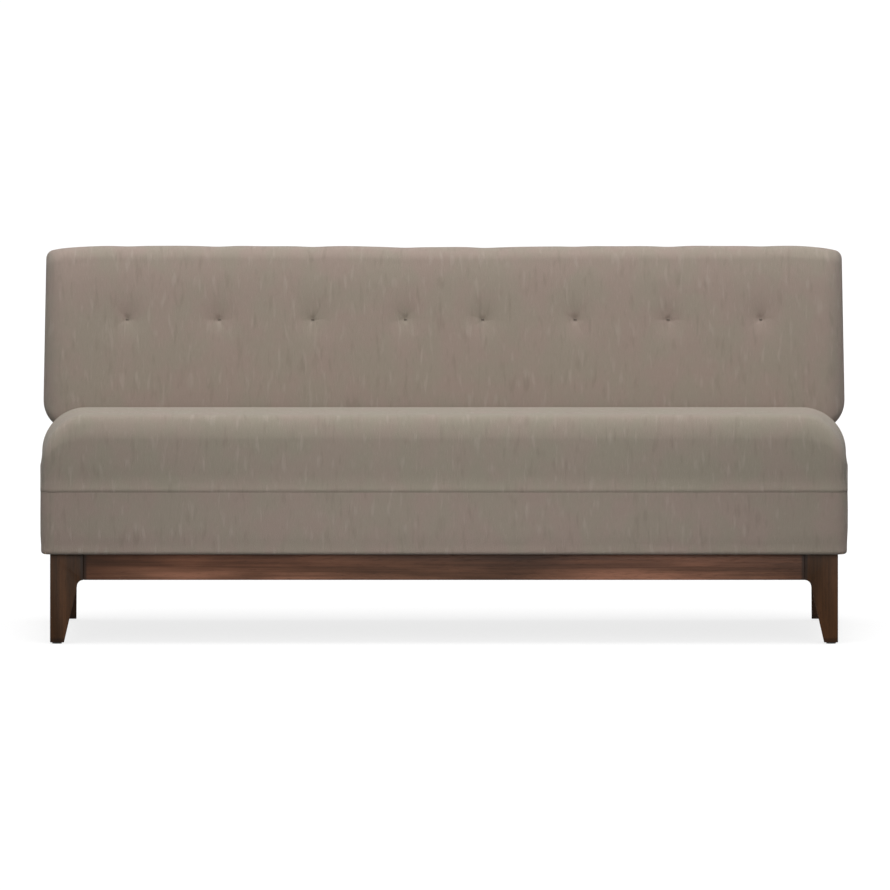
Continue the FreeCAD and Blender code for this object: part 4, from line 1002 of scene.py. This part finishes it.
    def tufted(self, own: Array) -> Array:
        """Draws the front in at every tuft, with short creases that run out from it.

        A tuft's depth is a narrow and a broad bell curve of the distance from it plus a sharp exponential.
        A crease is a bell curve across its own line, dying out along it. The cover also dips a little over
        each tuft where it turns over the top, and its top line waves by three sines.
        """
        chance = np.random.default_rng(self.seed)
        facing = np.clip((0.075 - own[..., 1]) / 0.03, 0, 1)
        depth, lowered = np.zeros(own.shape[:2]), np.zeros(own.shape[:2])
        for middle in self.tufts:
            centre = middle + chance.uniform(-0.003, 0.003)
            level = self.tuft_rise + chance.uniform(-0.002, 0.002)
            x, up = own[..., 0] - centre, own[..., 2] - level
            far = np.hypot(x, up)
            depth += (self.tuft_depth - self.tuft_offset) * bell(far / self.tuft_width)
            depth += self.pinch[0] * np.exp(-far / self.pinch[1]) + self.dish[0] * bell(far / self.dish[1])
            count = chance.integers(6, 9)
            turns = np.linspace(0, 2 * np.pi, count, endpoint=False) + chance.uniform(-0.3, 0.3, count)
            for turn in turns:
                run = x * np.cos(turn) + up * np.sin(turn)
                off = -x * np.sin(turn) + up * np.cos(turn)
                reach = chance.uniform(0.010, 0.022)
                width = 0.0022 + 0.10 * np.clip(run, 0, None)
                line = bell(off / width) * np.exp(-run / reach) * np.clip(run / 0.004, 0, 1)
                depth += chance.uniform(0.0006, 0.0014) * np.where(run > 0, line, 0)
            pull = bell(x / self.dish[1])
            depth += self.pull_depth * pull * np.exp(-np.abs(up) / self.pull_run)
            lowered += self.top_dip * pull * np.clip((own[..., 2] - self.length + 0.06) / 0.06, 0, 1)
        waves = sum(size * np.sin(own[..., 0] * 2 * np.pi / length + start)
                    for size, length, start in ((0.0004, 0.41, 1.1), (0.0003, 0.23, 4.0), (0.0002, 0.12, 2.3)))
        near_top = np.clip((own[..., 2] - self.length + 0.05) / 0.04, 0, 1)
        lowered += near_top * (waves + self.top_sag * np.exp(-((own[..., 0] - 0.02) / 0.25) ** 4))
        own = own.copy()
        own[..., 1] += depth * facing
        own[..., 2] -= lowered
        return own

    def build(self, finishes: Finishes) -> None:
        """Builds, tufts, fills and dresses the back."""
        own, uv, end_rows = self.grid()
        own = self.tufted(own)
        held = np.zeros(own.shape[:2], dtype=bool)
        held[:, :2] = held[:, -2:] = True
        held[:end_rows - 4] = held[-end_rows + 4:] = True
        for middle in self.tufts:
            near = np.hypot(own[..., 0] - middle, own[..., 2] - self.tuft_rise) < 0.010
            held |= near & (own[..., 1] < 0.06)
        points = self.place(own[..., 0], own[..., 1], own[..., 2])
        points = Filling(slack=0.014).fill_out(points, held)
        piece = make_mesh("back_cushion", points, grid_faces(*points.shape[:2])[:, ::-1], uv)
        close_shell(piece)
        dress(piece, finishes.painted_light_back_cloth)
        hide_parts("back_front_cover", "back_wadding")
        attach(piece, BODY)
        report(piece)

    def rear_panel(self, finishes: Finishes) -> None:
        """The outside back: a flat panel slip-stitched round its edges, a little full between them.

        Its height over the rear face is nought at the edge, rises by a steep root to the cloth's
        thickness, and swells by a product of two sines. Near a corner the grid is pulled in to a round.
        """
        margin, corner = self.rear_roll + 0.004, self.panel_corner
        wide = self.half - self.draw_in - margin
        low, high = self.thickness * math.tan(self.recline) + 0.020, self.length - margin
        x = spread(-wide, wide, lambda t: 0.0025 + 0.012 * np.clip((wide - np.abs(t)) / 0.02, 0, 1))
        up = spread(low, high, lambda t: 0.0025 + 0.012 * np.clip(np.minimum(t - low, high - t) / 0.02, 0, 1))
        across, rise = np.meshgrid(x, up, indexing="ij")
        beyond = (np.clip(np.abs(across) - wide + corner, 0, None),
                  np.clip(np.abs(rise - (low + high) / 2) - (high - low) / 2 + corner, 0, None))
        away = np.hypot(*beyond)
        pull = np.where(away > 1e-9, np.maximum(*beyond) / np.maximum(away, 1e-9), 1.0)
        core_x = np.clip(across, -wide + corner, wide - corner)
        core_up = np.clip(rise, low + corner, high - corner)
        across, rise = core_x + (across - core_x) * pull, core_up + (rise - core_up) * pull
        inside = np.minimum(wide - np.abs(across), np.minimum(rise - low, high - rise))
        edge = np.where(away > 0, corner - np.hypot(across - core_x, rise - core_up), inside)
        near = np.clip(np.clip(edge, 0, None) / 0.004, 0, 1)
        lift = self.panel_rise * np.sqrt(np.clip(1 - (1 - near) ** 2, 0, 1)) - self.panel_sink
        full = np.sin(np.pi * (across + wide) / (2 * wide)) * np.sin(np.pi * (rise - low) / (high - low))
        points = self.place(across, self.thickness + lift + self.panel_fullness * full, rise)
        uv = np.stack([across, rise], axis=-1)
        piece = make_mesh("back_rear_panel", points, grid_faces(*points.shape[:2]), uv)
        thick = piece.modifiers.new("cloth", "SOLIDIFY")
        thick.thickness, thick.offset = self.panel_cloth, -1
        dress(piece, finishes.painted_light_back_cloth)
        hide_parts("back_rear_cover")
        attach(piece, BODY)
        report(piece)


@dataclass
class BorderBand:
    """The upholstered band round the seat frame, sewn to the seat and turned under the rails."""

    plan_corner: float = 0.0285
    bottom_round: float = 0.007
    set_in: float = 0.0007
    hem: float = 0.0016
    hem_rise: float = 0.0080
    hem_width: float = 0.0042
    tuck_in: float = 0.0034
    tuck_run: float = 0.050
    ripple: float = 0.0009
    ripple_rise: float = 0.045
    ripple_width: float = 0.035
    cell: float = 0.011
    fine_cell: float = 0.0045

    def __post_init__(self) -> None:
        """Takes the band's planes from the CAD band."""
        low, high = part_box("seat_band")
        self.half, self.front, self.rear = high[0], low[1], high[1]
        self.base, self.seam = low[2], high[2]

    def plan(self) -> tuple[Array, Array, Array]:
        """Points and outward directions round the band's outline, and the length walked."""
        radius = self.plan_corner
        straights = [2 * (self.half - radius), self.rear - self.front - 2 * radius]
        quarter = math.pi / 2 * radius
        ends = np.cumsum([0.0] + [straights[0], quarter, straights[1], quarter] * 2)
        walked = spread(0, ends[-1], lambda s: self.fine_cell + (self.cell - self.fine_cell) * np.clip(
            (np.min(np.abs(s[:, None] - ends[None, 1:-1]), axis=1) - quarter / 2) / 0.02, 0, 1))[:-1]
        right, front, rear = self.half - radius, self.front + radius, self.rear - radius
        corners = np.array([[right, front], [right, rear], [-right, rear], [-right, front]])
        number = np.clip(np.searchsorted(ends, walked, side="right") - 1, 0, 7)
        part, side, bends = walked - ends[number], number // 2, number % 2 == 1
        start_turn = -math.pi / 2 + side * math.pi / 2
        turn = start_turn + np.where(bends, part / radius, 0.0)
        out = np.stack([np.cos(turn), np.sin(turn)], axis=1)
        ahead = np.stack([-np.sin(start_turn), np.cos(start_turn)], axis=1)
        along = np.array(straights * 2)[side]
        centre = corners[side] - ahead * np.where(bends, 0.0, along - part)[:, None]
        return centre + out * radius, out, walked

    def build(self, finishes: Finishes) -> None:
        """Sweeps the band's closed section round its outline.

        The section goes in at the seam, down the wall, out a little at the hem by a bell curve, round the
        bottom and back up behind the wall. The wall waves a little by four sines round the band.
        """
        outline, out, walked = self.plan()
        height = self.seam - self.base
        down = spread(0, height - self.bottom_round, lambda t: 0.0011 + 0.0085 * np.clip(t / 0.03, 0, 1))
        low = np.clip((down - height + self.tuck_run) / self.tuck_run, 0, 1)
        hem = self.hem * bell((down - height + self.hem_rise) / self.hem_width)
        wall = hem - self.set_in - self.tuck_in * low ** 2
        turn = np.linspace(0, np.pi / 2, 6)[1:]
        offset = np.concatenate([[-0.0070], wall, wall[-1] - self.bottom_round * (1 - np.cos(turn)),
                                 [-0.018, -0.026, -0.026, -0.0115, -0.0115]])
        level = np.concatenate([[self.seam + 0.004], self.seam - down,
                                self.base + self.bottom_round * (1 - np.sin(turn)),
                                [self.base, self.base, self.base + 0.002, self.base + 0.003,
                                 self.seam + 0.002]])
        level = np.maximum(level, self.base)
        chance = np.random.default_rng(21)
        waves = sum(chance.uniform(0.15, 0.4) * np.sin(walked * 2 * np.pi * count / walked[-1]
                                                       + chance.uniform(0, 6.3)) for count in (23, 37, 61, 88))
        swell = bell((level[None] - self.base - self.ripple_rise) / self.ripple_width)
        ripple = self.ripple * waves[:, None] * swell
        reach = offset[None] + np.where(offset[None] > -0.006, ripple, 0)
        points = np.stack([outline[:, None, 0] + out[:, None, 0] * reach,
                           outline[:, None, 1] + out[:, None, 1] * reach,
                           np.broadcast_to(level[None], reach.shape)], axis=-1)
        faces = grid_faces(*points.shape[:2], closed_rows=True, closed_columns=True)
        drop = np.concatenate([[0.0], np.cumsum(np.hypot(np.diff(offset), np.diff(level)))])
        row, column = faces // points.shape[1], faces % points.shape[1]
        last = row.max(axis=1, keepdims=True) == len(walked) - 1
        turned = walked[row] + np.where((row == 0) & last, walked[-1] + self.cell, 0.0)
        uv = np.stack([turned, -drop[column] + 0.2], axis=-1)
        piece = make_mesh("border_band", points, faces, uv)
        close_shell(piece)
        dress(piece, finishes.cloth)
        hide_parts("seat_band", "band_padding")
        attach(piece, BODY)
        report(piece)


def stitches(name: str, places: Array, ahead: Array, out: Array, length: float,
             radius: float) -> Piece:
    """A row of short thread stitches, each a thin rod that bows out in its middle.

    A stitch is a six-sided tube on a parabola: its ends dip into the cloth.

    Args:
        name: Name of the piece.
        places: (count, 3) middles.
        ahead: (count, 3) directions along the stitches.
        out: (count, 3) directions out of the cloth.
        length: Length of a stitch.
        radius: Radius of the thread.

    Returns:
        One object with all the stitches.
    """
    side = np.cross(ahead, out)
    share = np.array([-1.0, -0.6, 0.0, 0.6, 1.0])
    width = radius * np.array([0.35, 0.9, 1.0, 0.9, 0.35])
    turn = np.linspace(0, 2 * np.pi, 6, endpoint=False)[None, None, :, None]
    bow = (radius * (1.1 - 1.9 * share ** 2))[None, :, None]
    line = places[:, None] + ahead[:, None] * (share * length / 2)[None, :, None] + out[:, None] * bow
    ring = side[:, None, None] * np.cos(turn) + out[:, None, None] * np.sin(turn)
    points = line[:, :, None] + ring * width[None, :, None, None]
    caps = np.array([[0, 1, 2, 3], [0, 3, 4, 5], [27, 26, 25, 24], [29, 28, 27, 24]])
    faces = np.concatenate([grid_faces(5, 6, closed_columns=True), caps])
    every = faces[None] + 30 * np.arange(len(places))[:, None, None]
    piece = make_mesh(name, points, every.reshape(-1, 4))
    with opened(piece.data) as shell:
        bmesh.ops.recalc_face_normals(shell, faces=shell.faces)
    return piece


def settle(piece: Piece, material: Material) -> None:
    """Dresses a small new piece and rides it on the sofa."""
    dress(piece, material)
    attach(piece, BODY)
    report(piece)


@dataclass
class Sewing:
    """Threads and staples that show: in the seam, in the tufts and under the dust cover."""

    seat: SeatCushion
    back: BackCushion
    band: BorderBand
    pitch: float = 0.0052
    slant: float = 0.55
    staple_margin: float = 0.012
    staple_pitch: float = 0.045

    def seam_row(self, finishes: Finishes) -> None:
        """Slanting stitches in the seam that hold the seat cover to the band."""
        outline, out, walked = self.band.plan()
        total = walked[-1] + self.band.cell
        at = np.arange(0, total - self.pitch / 2, self.pitch)
        x, y, out_x, out_y = (np.interp(at, np.append(walked, total), np.append(values, values[0]))
                              for values in (*outline.T, *out.T))
        away = np.concatenate([unit(table(out_x, out_y)), np.zeros((len(at), 1))], axis=1)
        ahead = unit(table(-away[:, 1], away[:, 0], self.slant))
        places = table(x, y, self.seat.seam) - away * 0.0021
        piece = stitches("seam_stitches", places, ahead, away, 0.0034, 0.00030)
        settle(piece, finishes.thread)

    def staples(self, finishes: Finishes) -> None:
        """Staples that hold the dust cover under the rails."""
        low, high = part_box("dust_cover")
        margin, pitch = self.staple_margin, self.staple_pitch
        x = np.arange(low[0] + margin, high[0] - margin, pitch)
        y = np.arange(low[1] + margin + pitch / 2, high[1] - margin, pitch)
        flat = np.concatenate([table(x, low[1] + margin), table(x, high[1] - margin),
                               table(low[0] + margin, y), table(high[0] - margin, y)])
        chance = np.random.default_rng(5)
        turn = chance.uniform(-0.35, 0.35, len(flat)) + np.repeat([0.0, np.pi / 2], [2 * len(x), 2 * len(y)])
        places = table(*flat.T, low[2] - 0.0001)
        ahead = table(np.cos(turn), np.sin(turn), 0.0)
        down = np.tile([0.0, 0.0, -1.0], (len(flat), 1))
        piece = stitches("dust_cover_staples", places, ahead, down, 0.010, 0.0005)
        settle(piece, finishes.zinc)

    def tuft_knots(self, finishes: Finishes) -> None:
        """Two crossed turns of twine at the bottom of every tuft."""
        depth = self.back.tuft_depth + 0.0003
        middle = self.back.place(self.back.tufts, np.full(8, depth), np.full(8, self.back.tuft_rise))
        cosine, sine = math.cos(self.back.recline), math.sin(self.back.recline)
        out = np.tile([0.0, -cosine, sine], (8, 1))
        along = np.tile([1.0, 0.0, 0.0], (8, 1))
        up = np.tile([0.0, sine, cosine], (8, 1))
        ahead = np.concatenate([unit(along + 0.35 * up), unit(along - 0.5 * up)])
        piece = stitches("tuft_knots", np.concatenate([middle, middle]), ahead, np.concatenate([out, out]),
                         0.008, 0.0009)
        settle(piece, finishes.tuft_twine)


@dataclass
class Base:
    """The walnut base: the CAD boards with eased edges."""

    ease: float = 0.0012
    flat_turn: float = math.radians(1)
    sharp_turn: float = math.radians(30)

    def eased(self, node: str, material: Material) -> None:
        """Makes a copy of a CAD board whose sharp edges are rounded a little, to stand for the board.

        Args:
            node: The board's node.
            material: Its wood.
        """
        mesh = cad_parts[node].data.copy()
        mesh.name = f"{node}_eased"
        with opened(mesh) as shell:
            bmesh.ops.remove_doubles(shell, verts=shell.verts, dist=1e-6)
            bmesh.ops.dissolve_limit(shell, angle_limit=self.flat_turn, verts=shell.verts, edges=shell.edges)
        shade_smooth(mesh)
        piece = add_object(f"{node}_eased", mesh)
        rounding = piece.modifiers.new("eased_edges", "BEVEL")
        rounding.width, rounding.segments = self.ease, 3
        rounding.limit_method, rounding.angle_limit = "ANGLE", self.sharp_turn
        rounding.harden_normals = True
        dress(piece, material)
        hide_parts(node)
        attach(piece, BODY)
        report(piece)

    def build(self, finishes: Finishes) -> None:
        """Builds the legs and aprons."""
        for end in ("front", "rear"):
            self.eased(f"{end}_apron", finishes.apron)
            for side in ("left", "right"):
                self.eased(f"leg_{end}_{side}", finishes.leg)
        for side in ("left", "right"):
            self.eased(f"{side}_apron", finishes.side_apron)


@dataclass
class Inside:
    """The CAD pieces that stay as they are, each with its own finish."""

    finishes: Finishes

    def dress_all(self) -> None:
        """Assigns a finish to every CAD node by its work in the sofa."""
        chosen = {
            "cross": ("base_stretchers", "seat_cross_rails", "seat_left_rail", "seat_right_rail"),
            "rail": ("leg_corner_blocks", "seat_front_rail", "seat_rear_rail", "seat_corner_blocks",
                                 "back_top_rail", "back_lower_rail"),
            "post": ("back_post_outer_left", "back_post_inner_left", "back_post_inner_right",
                                 "back_post_outer_right", "back_left_stile", "back_right_stile"),
            "spring": ("seat_springs", "spring_clips", "spring_tie_wires"),
            "zinc": ("frame_bolts", "back_bolts"),
            "foam": ("seat_foam", "back_foam"),
            "wadding": ("seat_wadding", "back_wadding", "band_padding", "spring_insulator"),
            "cloth": ("seat_cover", "seat_band", "back_front_cover", "back_rear_cover"),
            "leg": ("leg_front_left", "leg_front_right", "leg_rear_left", "leg_rear_right"),
            "apron": ("front_apron", "rear_apron"),
            "side_apron": ("left_apron", "right_apron"),
            "lining": ("dust_cover", "back_liner"),
            "webbing": ("back_webbing",),
            "nylon": ("leg_glides", "tuft_toggles"),
            "twine": ("tuft_ties",),
        }
        for finish, names in chosen.items():
            for name in names:
                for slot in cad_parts[name].material_slots:
                    slot.material = getattr(self.finishes, finish)


@dataclass
class Studio:
    """The pale floor, the soft lamps and the camera at the photograph's height."""

    elevation: float = math.radians(4.1)
    distance: float = 40.0
    frame_width: float = 1.8512
    aim: tuple[float, float, float] = (0.002, 0.0, 0.387)
    world_light: float = 0.35
    key_light: float = 2.8
    key_height: float = math.radians(85)
    front_light: float = 1.14
    front_height: float = math.radians(20)
    fill_light: float = 1.8
    strip_light: float = 0.56
    softness: float = math.radians(50)
    floor_grey: Colour = (0.05, 0.05, 0.05)
    floor_paleness: float = 0.80

    def floor(self) -> None:
        """A wide floor that turns up behind the sofa, drawn pale for the camera and keeping the shadow.

        Its section is flat, then a quarter round, then upright, carried straight across.
        """
        turn = np.linspace(0, np.pi / 2, 24)
        radius, back, top, wide = 6.0, 30.0, 14.0, 60.0
        depth = np.concatenate([[-60.0, -10.0, 0.0, 10.0], back + radius * np.sin(turn), [back + radius]])
        height = np.concatenate([[0.0, 0.0, 0.0, 0.0], radius * (1 - np.cos(turn)), [top]])
        across = np.linspace(-wide, wide, 9)
        points = np.stack(np.broadcast_arrays(across[:, None], depth[None], height[None]), axis=-1)
        piece = make_mesh("studio_floor", points, grid_faces(*points.shape[:2]))
        material, nodes, shader = Finish("pale_floor").start()
        seen = nodes.seen()
        nodes.feed(shader, {"Roughness": 1.0, "Specular IOR Level": 0.0,
                            "Base Color": nodes.blend(seen, self.floor_grey, WHITE)})
        glow = nodes.add("ShaderNodeEmission", {"Color": WHITE, "Strength": 1.0})
        mix = nodes.add("ShaderNodeMixShader", {0: nodes.times(seen, self.floor_paleness), 1: shader.outputs[0],
                                                2: glow.outputs[0]})
        nodes.feed(material.node_tree.nodes["Material Output"], {"Surface": mix.outputs[0]})
        dress(piece, material)

    def lights(self) -> None:
        """An even world, a broad overhead light, a softer one from the front, and two lamps near the middle."""
        world = bpy.data.worlds.new("studio_world")
        bpy.context.scene.world = world
        world.use_nodes = True
        nodes = Nodes(world.node_tree)
        strength = nodes.add("ShaderNodeMapRange", {0: nodes.seen(), 1: 0.0, 2: 1.0, 3: self.world_light,
                                                    4: 1.0})
        nodes.feed(world.node_tree.nodes["Background"], {"Color": WHITE, "Strength": strength.outputs[0]})
        for name, power, height in (("overhead", self.key_light, self.key_height),
                                    ("front", self.front_light, self.front_height)):
            sun = bpy.data.lights.new(name, "SUN")
            sun.energy, sun.angle = power, self.softness
            add_object(name, sun).rotation_euler = (math.pi / 2 - height, 0.0, 0.0)
        for name, power, place, size, tilt in (
                ("front_fill", self.fill_light, (0.0, -1.65, 0.85), (0.9, 0.5), 65),
                ("low_strip", self.strip_light, (0.0, -0.83, 0.26), (1.26, 0.12), 90)):
            panel = bpy.data.lights.new(name, "AREA")
            panel.shape, panel.energy = "RECTANGLE", power
            panel.size, panel.size_y = size
            lamp = add_object(name, panel)
            lamp.location, lamp.rotation_euler = place, (math.radians(tilt), 0.0, 0.0)
            lamp.visible_camera = False

    def camera(self) -> None:
        """A camera with level rays far off, at the photograph's height: the photograph shows no nearness."""
        data = bpy.data.cameras.new("camera")
        data.type, data.ortho_scale = "ORTHO", self.frame_width
        data.clip_start, data.clip_end = 0.1, 300.0
        camera = add_object("camera", data)
        x, y, z = self.aim
        camera.location = (x, y - self.distance * math.cos(self.elevation),
                           z + self.distance * math.sin(self.elevation))
        camera.rotation_euler = (math.pi / 2 - self.elevation, 0.0, 0.0)
        bpy.context.scene.camera = camera

    def build(self) -> None:
        """Sets up the whole studio."""
        bpy.context.scene.view_settings.view_transform = "Standard"
        self.floor()
        self.lights()
        self.camera()


def main() -> None:
    """Builds the sofa's looks and its studio."""
    logging.basicConfig(level=logging.INFO, format="%(name)s: %(message)s")
    Studio().build()
    finishes = Finishes()
    Inside(finishes).dress_all()
    Base().build(finishes)
    band, seat, back = BorderBand(), SeatCushion(), BackCushion()
    band.build(finishes)
    seat.build(finishes)
    back.build(finishes)
    back.rear_panel(finishes)
    sewing = Sewing(seat, back, band)
    sewing.seam_row(finishes)
    sewing.staples(finishes)
    sewing.tuft_knots(finishes)


if __name__ == "__main__":
    main()
